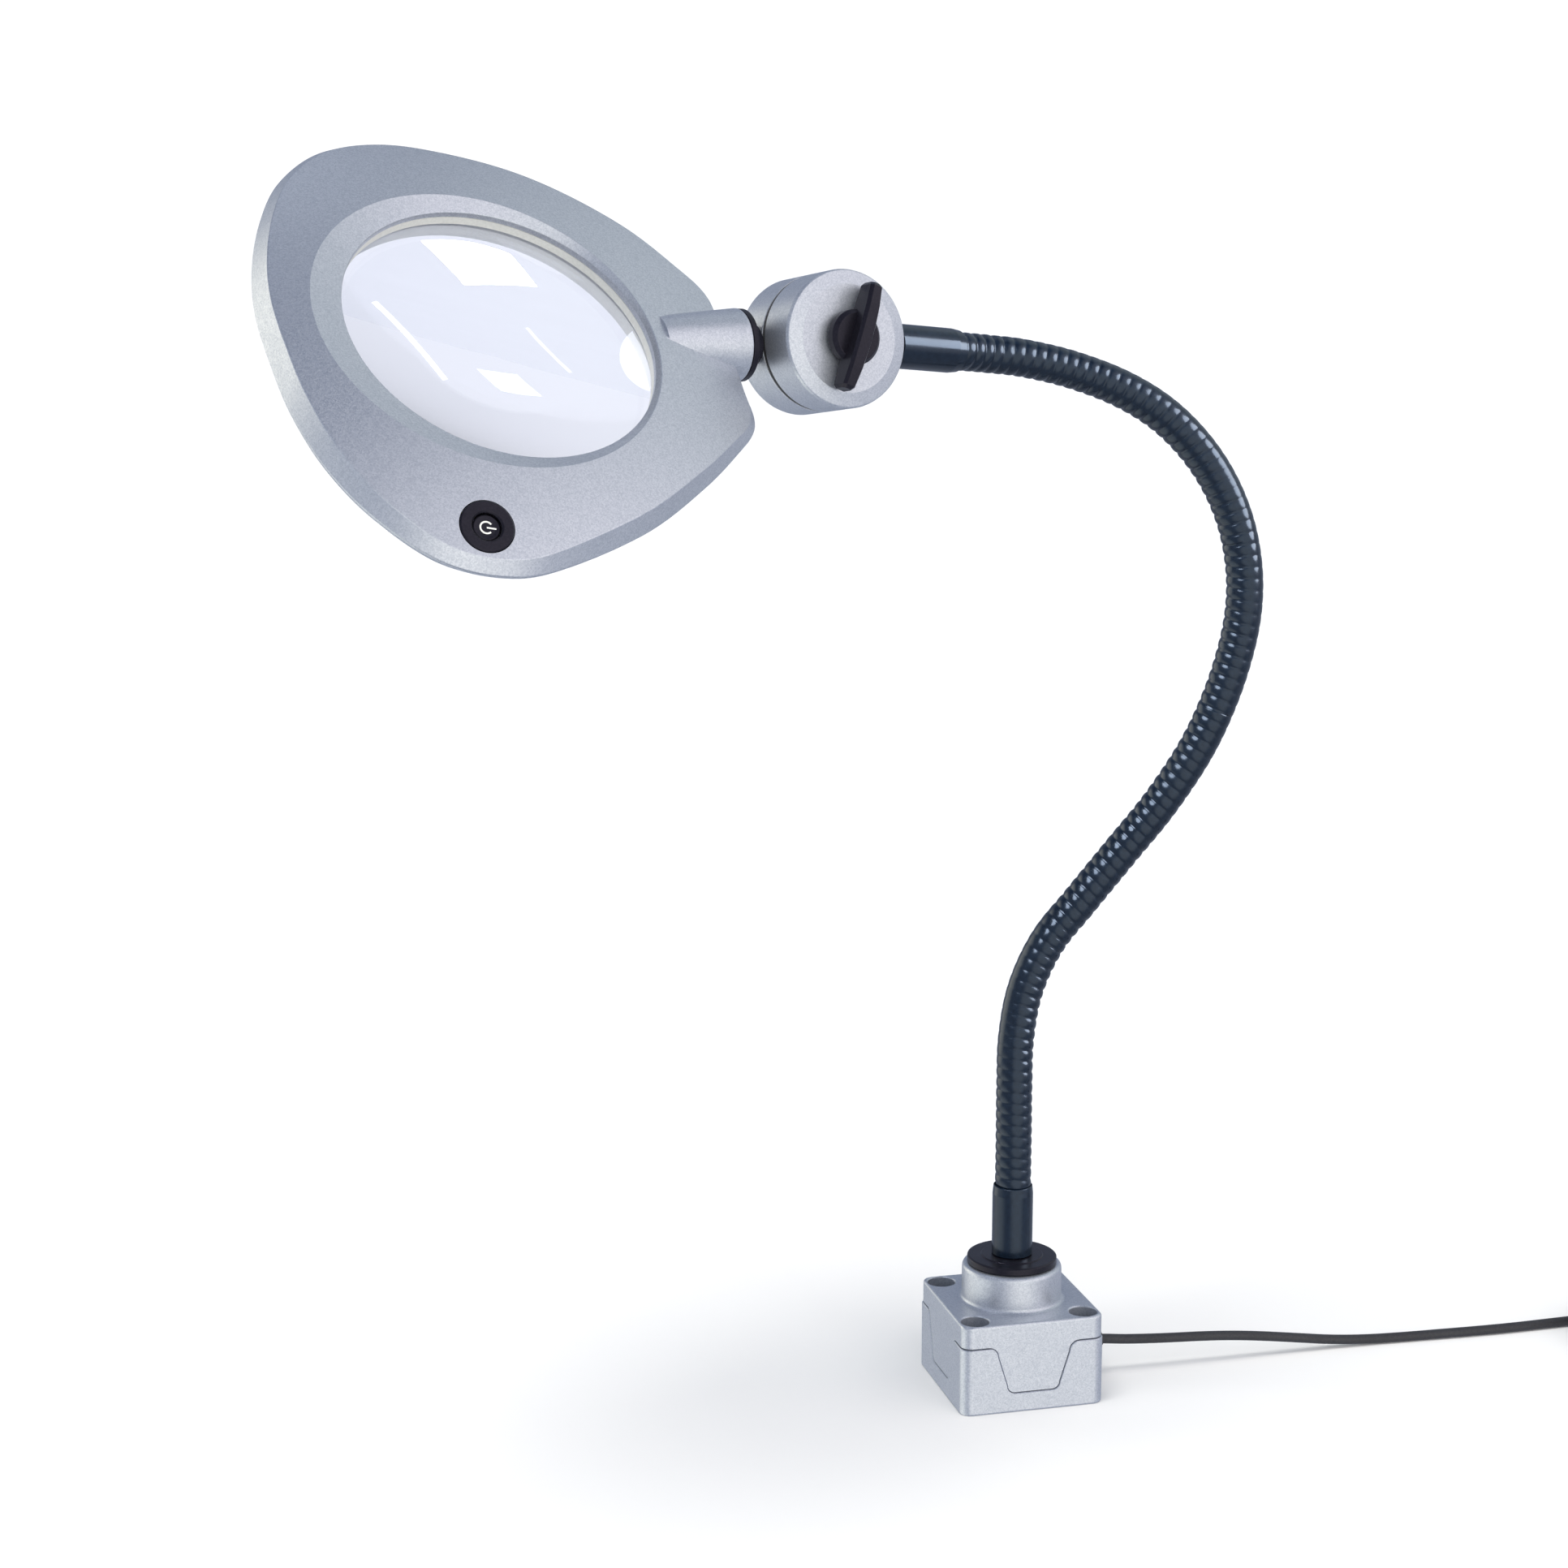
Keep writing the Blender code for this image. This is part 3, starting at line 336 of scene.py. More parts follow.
def circuit_board():
    """Green solder mask over copper tracks."""
    made, tree, shader, place = start_material("circuit_board")
    tracks = node(tree, "ShaderNodeTexVoronoi", distance="CHEBYCHEV")
    tracks.inputs["Scale"].default_value = 1 / (3.2 * MM)
    tree.links.new(place, tracks.inputs["Vector"])
    edge = spread(tree, tracks.outputs["Distance"], 0, 1, 0.38, 0.42)
    mask = two_colours(tree, edge, (0.02, 0.13, 0.06), (0.06, 0.24, 0.12))
    tree.links.new(mask, shader.inputs["Base Color"])
    tree.links.new(spread(tree, noise(tree, place, 2 * MM), 0.25, 0.4), shader.inputs["Roughness"])
    tree.links.new(raised(tree, edge, 0.03 * MM, 0.5), shader.inputs["Normal"])
    return made


FINISHES = {
    "silver_paint": silver_paint(),
    "black_plastic": moulded(
        "black_plastic", (0.006, 0.006, 0.009), (0.012, 0.011, 0.016), (0.26, 0.38), 0.35 * MM, 0.02 * MM,
        tint=(0.5, 0.48, 0.6),
    ),
    "neck_sheath": moulded(
        "neck_sheath", (0.002, 0.004, 0.008), (0.004, 0.008, 0.015), (0.16, 0.26), 0.8 * MM, 0.02 * MM,
        coat=0.15, tint=(0.58, 0.74, 0.98),
    ),
    "black_rubber": moulded(
        "black_rubber", (0.020, 0.020, 0.023), (0.032, 0.032, 0.036), (0.45, 0.62), 0.4 * MM, 0.02 * MM,
        sheen=0.08,
    ),
    "zinc_steel": brushed_metal("zinc_steel", (0.56, 0.56, 0.55), (0.72, 0.72, 0.70), (0.22, 0.38)),
    "brass": brushed_metal("brass", (0.66, 0.48, 0.22), (0.80, 0.62, 0.32), (0.2, 0.34)),
    "white_plastic": moulded(
        "white_plastic", (0.80, 0.80, 0.74), (0.88, 0.88, 0.82), (0.32, 0.46), 0.5 * MM, 0.01 * MM,
    ),
    "lens_glass": clear_glass(),
    "frosted_plastic": frosted(),
    "circuit_board": circuit_board(),
}


def paint_frame():
    """Gives each CAD node the finish that the record's slot names."""
    for part in frame["record"]["subparts"]:
        piece = frame["nodes"][part["node"]]
        piece.data.materials.clear()
        piece.data.materials.append(FINISHES[part["material_slot"]])


# ---------------------------------------------------------------- mesh tools


def frame_matrix(origin, x_direction, z_direction):
    """A matrix with its Z along z_direction and its X as near to x_direction as that allows."""
    z = z_direction.normalized()
    x = (x_direction - x_direction.dot(z) * z).normalized()
    y = z.cross(x)
    made = Matrix((x, y, z)).transposed().to_4x4()
    made.translation = origin
    return made


def along(start, direction):
    turn = direction.to_track_quat("Z", "Y").to_matrix().to_4x4()
    return Matrix.Translation(start) @ turn


def radial(z):
    """Lays a piece drawn along Z out along X, at a height on Z."""
    return Matrix.Translation((0, 0, z)) @ Matrix.Rotation(math.radians(90), 4, "Y")


def piece_from(name, bm, place=None, smooth_angle=32):
    """Makes an object of a bmesh, with its place in its vertices and its edges shaded by their angle."""
    bmesh.ops.remove_doubles(bm, verts=bm.verts, dist=1e-7)
    bmesh.ops.recalc_face_normals(bm, faces=bm.faces)
    mesh = bpy.data.meshes.new(name)
    bm.to_mesh(mesh)
    bm.free()
    if place:
        mesh.transform(place)
    made = bpy.data.objects.new(name, mesh)
    bpy.context.scene.collection.objects.link(made)
    mesh.shade_smooth()
    mesh.set_sharp_from_angle(angle=math.radians(smooth_angle))
    return made


def loft(name, rings, place=None, closed=False):
    """A body through rings of equal length. It is capped, or closed from its last ring to its first."""
    bm = bmesh.new()
    rows = [[bm.verts.new(point) for point in ring] for ring in rings]
    pairs = list(zip(rows, rows[1:])) + ([(rows[-1], rows[0])] if closed else [])
    for here, there in pairs:
        for k, corner in enumerate(here):
            after = (k + 1) % len(here)
            bm.faces.new((corner, here[after], there[after], there[k]))
    if not closed:
        bm.faces.new(rows[0])
        bm.faces.new(rows[-1])
    return piece_from(name, bm, place)


def rounded(corners, steps=5):
    """The corners (x, y, radius) of a closed profile, with a curve for each radius."""
    points = []
    for i, (x, y, radius) in enumerate(corners):
        here = Vector((x, y))
        if not radius:
            points.append((x, y))
            continue
        before = Vector(corners[i - 1][:2]) - here
        after = Vector(corners[(i + 1) % len(corners)][:2]) - here
        reach = radius / math.tan(before.angle(after) / 2)
        start, end = here + before.normalized() * reach, here + after.normalized() * reach
        for k in range(steps + 1):
            t = k / steps
            points.append(tuple((1 - t) ** 2 * start + 2 * t * (1 - t) * here + t * t * end))
    return points


def turned(name, corners, place=None, sides=96):
    """A rounded profile of (radius, height, rounding) in millimetres, turned about Z."""
    profile = rounded([tuple(value * MM for value in corner) for corner in corners])
    bm = bmesh.new()
    rows = []
    for radius, height in profile:
        if radius < 1e-7:
            rows.append([bm.verts.new((0, 0, height))])
            continue
        angles = [math.tau * k / sides for k in range(sides)]
        rows.append([bm.verts.new((radius * math.cos(a), radius * math.sin(a), height)) for a in angles])
    pairs = list(zip(rows, rows[1:]))
    if len(rows[0]) > 1:
        pairs.append((rows[-1], rows[0]))
    for here, there in pairs:
        for k in range(sides):
            after = (k + 1) % sides
            corners_of_face = [here[k % len(here)], here[after % len(here)], there[after % len(there)]]
            corners_of_face.append(there[k % len(there)])
            unique = list(dict.fromkeys(corners_of_face))
            if len(unique) > 2:
                bm.faces.new(unique)
    return piece_from(name, bm, place)


def drill(radius, start, end, place=None, sides=48):
    """A straight round cutter along Z, in millimetres."""
    return turned("drill", [(0, end, 0), (radius, end, 0), (radius, start, 0), (0, start, 0)], place, sides)


def box_cutter(size, centre, place=None):
    bm = bmesh.new()
    bmesh.ops.create_cube(bm, size=1)
    bmesh.ops.scale(bm, vec=size, verts=bm.verts)
    bmesh.ops.translate(bm, vec=centre, verts=bm.verts)
    return piece_from("box_cutter", bm, place)


def combine(target, others, operation):
    """Cuts the others from the target, or joins them to it, and removes them."""
    for k, other in enumerate(others):
        made = target.modifiers.new(f"{operation}_{k}", "BOOLEAN")
        made.operation = operation
        made.object = other
        made.solver = "EXACT"
    graph = bpy.context.evaluated_depsgraph_get()
    mesh = bpy.data.meshes.new_from_object(target.evaluated_get(graph))
    target.modifiers.clear()
    target.data = mesh
    for other in others:
        bpy.data.objects.remove(other, do_unlink=True)


def cut(target, *cutters):
    combine(target, cutters, "DIFFERENCE")


def join(target, *pieces):
    combine(target, pieces, "UNION")


def hand_over(piece, body, finish, *stands_for, flat_shading=True):
    """Paints a piece, puts it on its body and hides the CAD nodes that it stands for."""
    piece.data.materials.clear()
    piece.data.materials.append(FINISHES[finish])
    if piece.type == "MESH":
        piece.data.polygons.foreach_set("material_index", [0] * len(piece.data.polygons))
        piece.data.shade_smooth()
        piece.data.set_sharp_from_angle(angle=math.radians(32))
        if flat_shading:
            weighted = piece.modifiers.new("even_shading", "WEIGHTED_NORMAL")
            weighted.keep_sharp = True
    if body:
        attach(piece, body)
    if stands_for:
        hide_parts(*stands_for)
    return piece


def smooth_path(points, per_span=12, closed=False):
    """Points along a smooth curve through the given ones, by Catmull and Rom's rule."""
    count = len(points)
    path = []
    for i in range(count if closed else count - 1):
        if closed:
            a, b, c, d = (points[(i + k) % count] for k in (-1, 0, 1, 2))
        else:
            a, b, c, d = (points[min(max(i + k, 0), count - 1)] for k in (-1, 0, 1, 2))
        for step in range(per_span):
            t = step / per_span
            square = (2 * a - 5 * b + 4 * c - d) * t**2
            cube = (3 * b - a - 3 * c + d) * t**3
            path.append(0.5 * (2 * b + (c - a) * t + square + cube))
    if not closed:
        path.append(points[-1])
    return path


class Path:
    """A smooth curve that can be read by the length along it."""

    def __init__(self, points):
        self.points = smooth_path(points)
        self.lengths = [0.0]
        for before, after in zip(self.points, self.points[1:]):
            self.lengths.append(self.lengths[-1] + (after - before).length)
        self.length = self.lengths[-1]

    def at(self, distance):
        distance = min(max(distance, 0.0), self.length)
        i = max(bisect.bisect_left(self.lengths, distance), 1)
        part = (distance - self.lengths[i - 1]) / (self.lengths[i] - self.lengths[i - 1])
        return self.points[i - 1].lerp(self.points[i], part)

    def tangent(self, distance, step=3.0 * MM):
        return (self.at(distance + step) - self.at(distance - step)).normalized()


# ---------------------------------------------------------------- camera, light and floor


def make_camera():
    data = bpy.data.cameras.new("camera")
    data.lens = 67.08
    data.sensor_width = 36
    data.clip_start, data.clip_end = 0.05, 200
    made = bpy.data.objects.new("camera", data)
    made.location = (-0.3547, -1.0366, 0.4576)
    made.rotation_euler = (math.radians(78.825), 0, math.radians(-14.197))
    bpy.context.scene.collection.objects.link(made)
    bpy.context.scene.camera = made


def add_light(kind, name, energy, colour, direction=None, place=None, side=None, size=None):
    data = bpy.data.lights.new(name, kind)
    data.energy = energy
    data.color = colour
    made = bpy.data.objects.new(name, data)
    bpy.context.scene.collection.objects.link(made)
    if kind == "SUN":
        data.angle = math.radians(size)
        made.rotation_euler = Vector(direction).to_track_quat("Z", "Y").to_euler()
    else:
        data.shape = "RECTANGLE"
        data.size, data.size_y = size
        made.matrix_world = frame_matrix(place, side, place - HEAD_CENTRE)
    return made


def only_on(light, *pieces):
    """Keeps a light to some pieces: they mirror it, and the paint round them stays as it is."""
    receivers = bpy.data.collections.new(f"{light.name}_receivers")
    for piece in pieces:
        receivers.objects.link(piece)
    light.light_linking.receiver_collection = receivers


def make_world():
    """White to the camera and through the lens, otherwise a dull sky with paler and darker lobes."""
    world = bpy.data.worlds.new("studio")
    bpy.context.scene.world = world
    world.use_nodes = True
    tree = world.node_tree
    background = tree.nodes["Background"]
    direction = node(tree, "ShaderNodeTexCoord").outputs["Generated"]
    colour = None
    # Each lobe's direction, the cosines at which it starts and is full, and its colour
    lobes = [
        ((0.0, 0.1, 1.0), 0.3, 0.95, (0.08, 0.12, 0.22)),
        ((0.75, 0.3, 0.6), 0.78, 0.96, (0.55, 0.61, 0.64)),
        ((0.7, -0.6, 0.4), 0.7, 0.94, (1.15, 1.1, 1.15)),
        ((-0.78, 0.62, 0.1), 0.86, 0.97, (1.75, 1.7, 1.5)),
        ((-0.77, 0.08, -0.64), 0.78, 0.97, (1.4, 1.42, 1.34)),
        ((0.1, -1.0, -0.05), 0.7, 0.95, (1.35, 1.33, 1.28)),
        ((0.2, 0.97, 0.0), 0.7, 0.95, (0.24, 0.28, 0.38)),
        ((0.0, 0.42, 0.91), 0.95, 0.99, (0.55, 0.6, 0.7)),
    ]
    for axis, start, end, tint in lobes:
        dot = node(tree, "ShaderNodeVectorMath", operation="DOT_PRODUCT")
        dot.inputs[1].default_value = Vector(axis).normalized()
        tree.links.new(direction, dot.inputs[0])
        factor = node(tree, "ShaderNodeMapRange", interpolation_type="SMOOTHSTEP")
        factor.inputs["From Min"].default_value = start
        factor.inputs["From Max"].default_value = end
        tree.links.new(dot.outputs["Value"], factor.inputs["Value"])
        mixed = node(tree, "ShaderNodeMix", data_type="RGBA")
        mixed.inputs["A"].default_value = (0.40, 0.44, 0.54, 1)
        if colour:
            tree.links.new(colour, mixed.inputs["A"])
        mixed.inputs["B"].default_value = (*tint, 1)
        tree.links.new(factor.outputs["Result"], mixed.inputs["Factor"])
        colour = mixed.outputs["Result"]
    tree.links.new(colour, background.inputs["Color"])
    seen = node(tree, "ShaderNodeBackground")
    seen.inputs["Color"].default_value = (1, 1, 1, 1)
    seen.inputs["Strength"].default_value = 1.1
    either = node(tree, "ShaderNodeMixShader")
    path = node(tree, "ShaderNodeLightPath")
    direct = node(tree, "ShaderNodeMath", operation="MAXIMUM")
    tree.links.new(path.outputs["Is Camera Ray"], direct.inputs[0])
    tree.links.new(path.outputs["Is Transmission Ray"], direct.inputs[1])
    tree.links.new(direct.outputs["Value"], either.inputs["Fac"])
    tree.links.new(background.outputs["Background"], either.inputs[1])
    tree.links.new(seen.outputs["Background"], either.inputs[2])
    tree.links.new(either.outputs["Shader"], tree.nodes["World Output"].inputs["Surface"])


def make_floor():
    bm = bmesh.new()
    bmesh.ops.create_circle(bm, cap_ends=True, segments=96, radius=60)
    floor = piece_from("floor", bm, Matrix.Translation((0, 0, -0.02 * MM)))
    made, tree, shader, place = start_material("studio_floor")
    patches = spread(tree, noise(tree, place, 0.3), 0, 1)
    tone = two_colours(tree, patches, (0.94, 0.93, 0.90), (0.96, 0.95, 0.92))
    tree.links.new(tone, shader.inputs["Base Color"])
    shader.inputs["Roughness"].default_value = 0.9
    shader.inputs["Specular IOR Level"].default_value = 0.1
    floor.data.materials.append(made)
    floor.visible_glossy = False  # the paint's undersides mirror the darker world below


def make_stage():
    bpy.context.scene.view_settings.view_transform = "Standard"
    make_world()
    make_floor()
    key = add_light("SUN", "key", 0.75, (1.0, 0.99, 0.98), direction=(0.1, -0.9, 0.6), size=50)
    over = add_light("SUN", "overhead", 1.85, (1.0, 0.99, 0.96), direction=(-0.3, -0.1, 1.0), size=30)
    key.visible_glossy = over.visible_glossy = False


# ---------------------------------------------------------------- lead


def coil_points():
    """The lead's centreline round the coil, clockwise from the point nearest the base's line."""
    per_turn = 40
    total = len(COIL_TURNS) - 0.75
    points = []
    for k in range(round(total * per_turn) + 1):
        turns = k / per_turn
        number = min(int(turns), len(COIL_TURNS) - 2)
        step = min(max((turns - number - 0.62) / 0.24, 0), 1)
        share = step * step * (3 - 2 * step)
        (column, layer), (next_column, next_layer) = COIL_TURNS[number], COIL_TURNS[number + 1]
        radius = COIL_RADII[column] + (COIL_RADII[next_column] - COIL_RADII[column]) * share
        height = COIL_FLOOR + CORD_DIAMETER * (layer + (next_layer - layer) * share)
        angle = math.pi / 2 - math.tau * turns
        points.append(COIL_CENTRE + Vector((radius * math.cos(angle), radius * math.sin(angle), height)))
    return points


def make_cord():
    lead_in = smooth_path(millimetres(CORD_ROUTE), 6)
    coil = coil_points()
    approach = [Vector((262.5, 0.05, 2.0)) * MM]
    tail = millimetres([(296.4, -30, 5.9), (296.4, -34, 5.5), (296.4, -38, 4.9), (296.4, -41.4, 4.65)])
    points = lead_in + approach + coil + tail
    curve = bpy.data.curves.new("power_lead", "CURVE")
    curve.dimensions = "3D"
    curve.bevel_depth = CORD_DIAMETER / 2
    curve.bevel_resolution = 5
    curve.use_fill_caps = True
    spline = curve.splines.new("POLY")
    spline.points.add(len(points) - 1)
    for item, point in zip(spline.points, points):
        item.co = (*point, 1)
    lead = bpy.data.objects.new("power_lead", curve)
    bpy.context.scene.collection.objects.link(lead)
    hand_over(lead, "base", "black_rubber", "cord", "cord_coil")
    return lead


def make_plug():
    lying = along(PLUG_AT, Vector((0, -1, 0)))
    ribs = []
    for k in range(4):
        low = 5.6 - 2.6 * k
        ribs += [(4.6, low + 1.3, 0.15), (4.6, low, 0.15), (4.15, low - 0.3, 0.1), (4.15, low - 0.9, 0.1)]
    corners = [(0, 11, 0), (4.5, 11, 0.6)] + ribs + [
        (4.6, -5.2, 0.2), (4.6, -9, 0.5), (3.4, -11.4, 0.5), (2.75, -12.5, 0.2), (2.75, -13.4, 0.1),
        (2.35, -13.7, 0.1), (2.35, -14.6, 0.1), (2.65, -14.9, 0.1), (2.65, -15.8, 0.1), (2.3, -16.1, 0.1),
        (2.3, -17, 0.1), (2.5, -17.3, 0.1), (2.4, -19, 0.2), (0, -19, 0),
    ]
    body = hand_over(turned("plug_grip", corners, lying, 64), "base", "black_rubber", "plug_body")
    corners = [
        (1.25, 20.8, 0.1), (2.75, 20.8, 0.3), (2.75, 11.2, 0), (0, 11.2, 0), (0, 12.5, 0), (1.25, 12.5, 0),
    ]
    barrel = turned("plug_tip", corners, lying, 64)
    hand_over(barrel, "base", "zinc_steel", "plug_barrel")
    return [body, barrel]


def make_tie():
    """A soft hook-and-loop tie round the coil, at its side away from the base."""
    inner, outer = COIL_RADII[2] - CORD_DIAMETER / 2, COIL_RADII[0] + CORD_DIAMETER / 2
    height = 4 * CORD_DIAMETER + 0.05 * MM
    half, thick = 5.5 * MM, 0.45 * MM

    def section(grow):
        corner = 1.9 * MM + grow
        low = 0.12 * MM if grow == 0 else 0.03 * MM
        left, right, top = inner - grow, outer + grow, height + grow
        below = [(left, low, corner * 0.8), (right, low, corner * 0.8)]
        return rounded(below + [(right, top, corner), (left, top, corner)], 6)

    inside, outside = section(0), section(thick)
    rings = []
    for x, points in ((-half, inside), (-half, outside), (half, outside), (half, inside)):
        rings.append([Vector((radius, x, level)) for radius, level in points])
    place = Matrix.Translation(COIL_CENTRE) @ Matrix.Rotation(math.radians(-38), 4, "Z")
    hand_over(loft("coil_tie", rings, place, closed=True), "base", "black_rubber")


# ---------------------------------------------------------------- base


def square_ring(half, corner, height, steps=8):
    points = []
    for quarter in range(4):
        middle = half - corner
        x_side = 1 if quarter in (0, 3) else -1
        y_side = 1 if quarter in (0, 1) else -1
        for k in range(steps + 1):
            angle = math.radians(90 * quarter + 90 * k / steps)
            x = x_side * middle + corner * math.cos(angle)
            y = y_side * middle + corner * math.sin(angle)
            points.append((x, y, height))
    return points


def square_body(name, half, corner, levels):
    """A rounded square block through (inset, height) levels, in millimetres."""
    rings = [square_ring(half - inset * MM, corner - inset * MM, height * MM) for inset, height in levels]
    return loft(name, rings)


def arc(centre, radius, start, end, steps=8):
    angles = [math.radians(start + (end - start) * k / steps) for k in range(steps + 1)]
    return [(centre[0] + radius * math.cos(a), centre[1] + radius * math.sin(a)) for a in angles]


def tongue_outline(grow):
    """The cover's tongue, across and up, grown on every side by grow. Its shoulders curve outwards."""
    shoulder = TONGUE_SHOULDER - grow
    shoulder_x = TONGUE_TOP + TONGUE_SHOULDER
    corner = TONGUE_CORNER + grow
    corner_x = TONGUE_FOOT + grow - corner
    right = [(shoulder_x, SPLIT_Z + 1.0 * MM)]
    right += arc((shoulder_x, SPLIT_Z + GAP - TONGUE_SHOULDER), shoulder, 90, 180)
    right += arc((corner_x, TONGUE_TIP_Z - grow + corner), corner, 0, -90)
    return right + [(-x, y) for x, y in reversed(right)]


def tongue_body(levels, turn):
    """The tongue's outline lofted outwards through (growth, depth) levels in millimetres."""
    rings = []
    for grow, depth in levels:
        rings.append([(x, y, depth * MM) for x, y in tongue_outline(grow * MM)])
    stand = Matrix.Rotation(math.radians(90), 4, "X")
    return loft("tongue", rings, Matrix.Rotation(math.radians(90 * turn), 4, "Z") @ stand)


def at(x, y):
    return Matrix.Translation((x, y, 0))


def base_cutters():
    cutters = []
    size, height = 2 * (COVER_HALF - WALL), BASE_TOP - 6 * MM
    for wide, deep in ((size, 27.2 * MM), (27.2 * MM, size)):
        cutters.append(box_cutter((wide, deep, height), (0, 0, 3 * MM + height / 2)))
    fixing = [
        (0, 40, 0), (6.0, 40, 0), (6.0, 36.02, 0), (5.5, 35.55, 0.2), (5.5, 8.0, 0.4), (3.3, 8.0, 0.15),
        (3.3, 0.4, 0), (3.8, -0.1, 0), (3.8, -1, 0), (0, -1, 0),
    ]
    small = [(0, 32, 0), (1.55, 32, 0), (1.55, 2.2, 0), (2.7, 2.2, 0), (2.7, 0.3, 0), (3.1, -0.1, 0)]
    small += [(3.1, -1, 0), (0, -1, 0)]
    for across, profile, sides in ((FIXING_AT, fixing, 64), (COVER_SCREW_AT, small, 32)):
        for x in (-across, across):
            for y in (-across, across):
                cutters.append(turned("hole", profile, at(x, y), sides))
    return cutters


def make_base():
    corner = 4.5 * MM
    levels = [(0.8, 0), (0.35, 0.12), (0.1, 0.4), (0, 0.85), (0, 26.42), (0.22, 26.7)]
    tray = square_body("base_tray_shell", BASE_HALF, corner, levels)
    slots = [tongue_body([(0.16, 20), (0.16, 28.72), (0.4, 29.0), (0.4, 34)], k) for k in range(4)]
    cut(tray, *slots)
    cut(tray, *base_cutters())
    hand_over(tray, "base", "silver_paint", "base_tray")
    levels = [(0.22, 27.0), (0, 27.24), (0, 34.85), (0.1, 35.35), (0.4, 35.78), (0.8, 35.97), (1.1, 36.0)]
    cover = square_body("base_cover_shell", COVER_HALF, corner - 0.1 * MM, levels)
    tongues = [tongue_body([(0, 25.6), (0, 28.38), (-0.2, 28.59)], k) for k in range(4)]
    boss = [
        (0, 50.4, 0), (19.5, 50.4, 2.0), (19.6, 36.05, 1.9), (24, 35.9, 0), (24, 34, 0), (0, 34, 0),
    ]
    join(cover, turned("boss", boss, sides=128), *tongues)
    cut(cover, drill(5.4, 20, 60), drill(3.6, 20, 40, along(Vector((0, 0, CORD_EXIT_Z)), Vector((1, 0, 0)))))
    cut(cover, *base_cutters())
    hand_over(cover, "base", "silver_paint", "base_cover")


def screw_body(name, profile, recess_z, reach, place):
    """A turned screw with a cross recess in its head."""
    made = turned(name, profile, place, 48)
    for turn in (0, 90):
        spin = place @ Matrix.Rotation(math.radians(turn), 4, "Z")
        size = (reach * 2 * MM, 0.62 * MM, 1.6 * MM)
        cut(made, box_cutter(size, (0, 0, recess_z * MM), spin))
    return made


def make_base_hardware():
    number = 0
    profile = [(0, 30, 0), (1.2, 29.4, 0.2), (1.2, 1.9, 0), (2.3, 1.9, 0.2), (2.3, 0.35, 0.35), (0, 0.25, 0)]
    for x in (-COVER_SCREW_AT, COVER_SCREW_AT):
        for y in (-COVER_SCREW_AT, COVER_SCREW_AT):
            number += 1
            made = screw_body(f"tray_screw_{number}", profile, 0.4, 1.4, at(x, y))
            hand_over(made, "base", "zinc_steel", f"cover_screw_{number}")
    flange = [
        (5.4, 53.9, 0), (11.9, 53.9, 0.3), (12.3, 53.5, 0.15), (16.7, 53.45, 0.2), (17.55, 53.2, 0.5),
        (17.55, 50.7, 0.4), (5.4, 50.7, 0),
    ]
    hand_over(turned("neck_flange_disc", flange, sides=128), "base", "black_plastic", "neck_flange")
    sleeve = [(7.3, 82.3, 0), (7.62, 82.1, 0.2), (7.95, 78.8, 2.5), (7.95, 54.2, 0.3), (7.3, 54.2, 0)]
    hand_over(turned("neck_foot_sleeve", sleeve, sides=96), "base", "neck_sheath", "neck_root_sleeve")
    face = 28.6
    gland = [
        (2.05, face + 9.5, 0.1), (2.8, face + 9.5, 0.3), (3.05, face + 8.2, 0), (2.7, face + 7.9, 0),
        (2.8, face + 7.2, 0), (3.4, face + 6.9, 0), (3.6, face + 5.6, 0), (3.2, face + 5.3, 0),
        (3.3, face + 4.6, 0), (3.9, face + 4.3, 0), (4.2, face + 2.2, 0.3), (4.9, face + 1.4, 0.4),
        (4.9, face + 0.3, 0.2), (3.3, face + 0.3, 0), (3.3, face - 2.9, 0), (4.9, face - 2.9, 0),
        (4.9, face - 4.6, 0), (2.05, face - 4.6, 0),
    ]
    place = along(Vector((0, 0, CORD_EXIT_Z)), Vector((1, 0, 0)))
    hand_over(turned("lead_gland", gland, place, 64), "base", "black_rubber", "strain_relief")


# ---------------------------------------------------------------- neck


def joint_place(name):
    return Vector(JOINTS[name]["pos_m"]), Vector(JOINTS[name]["axis"])


DRUM_CENTRE, DRUM_AXIS = joint_place("head_tilt")
HEAD_CENTRE, HEAD_AXIS = joint_place("head_swivel")
JOINT_FRAME = frame_matrix(DRUM_CENTRE, NECK_END_DIRECTION, DRUM_AXIS)
HEAD_FRAME = frame_matrix(HEAD_CENTRE, HEAD_AXIS, HEAD_UP)
HEAD_REACH = (DRUM_CENTRE - HEAD_CENTRE).length


def neck_path():
    ends = [JOINT_FRAME @ Vector((x * MM, 0, NECK_SOCKET_Z)) for x in NECK_END_STOPS]
    return Path(millimetres(NECK_ROUTE) + ends)


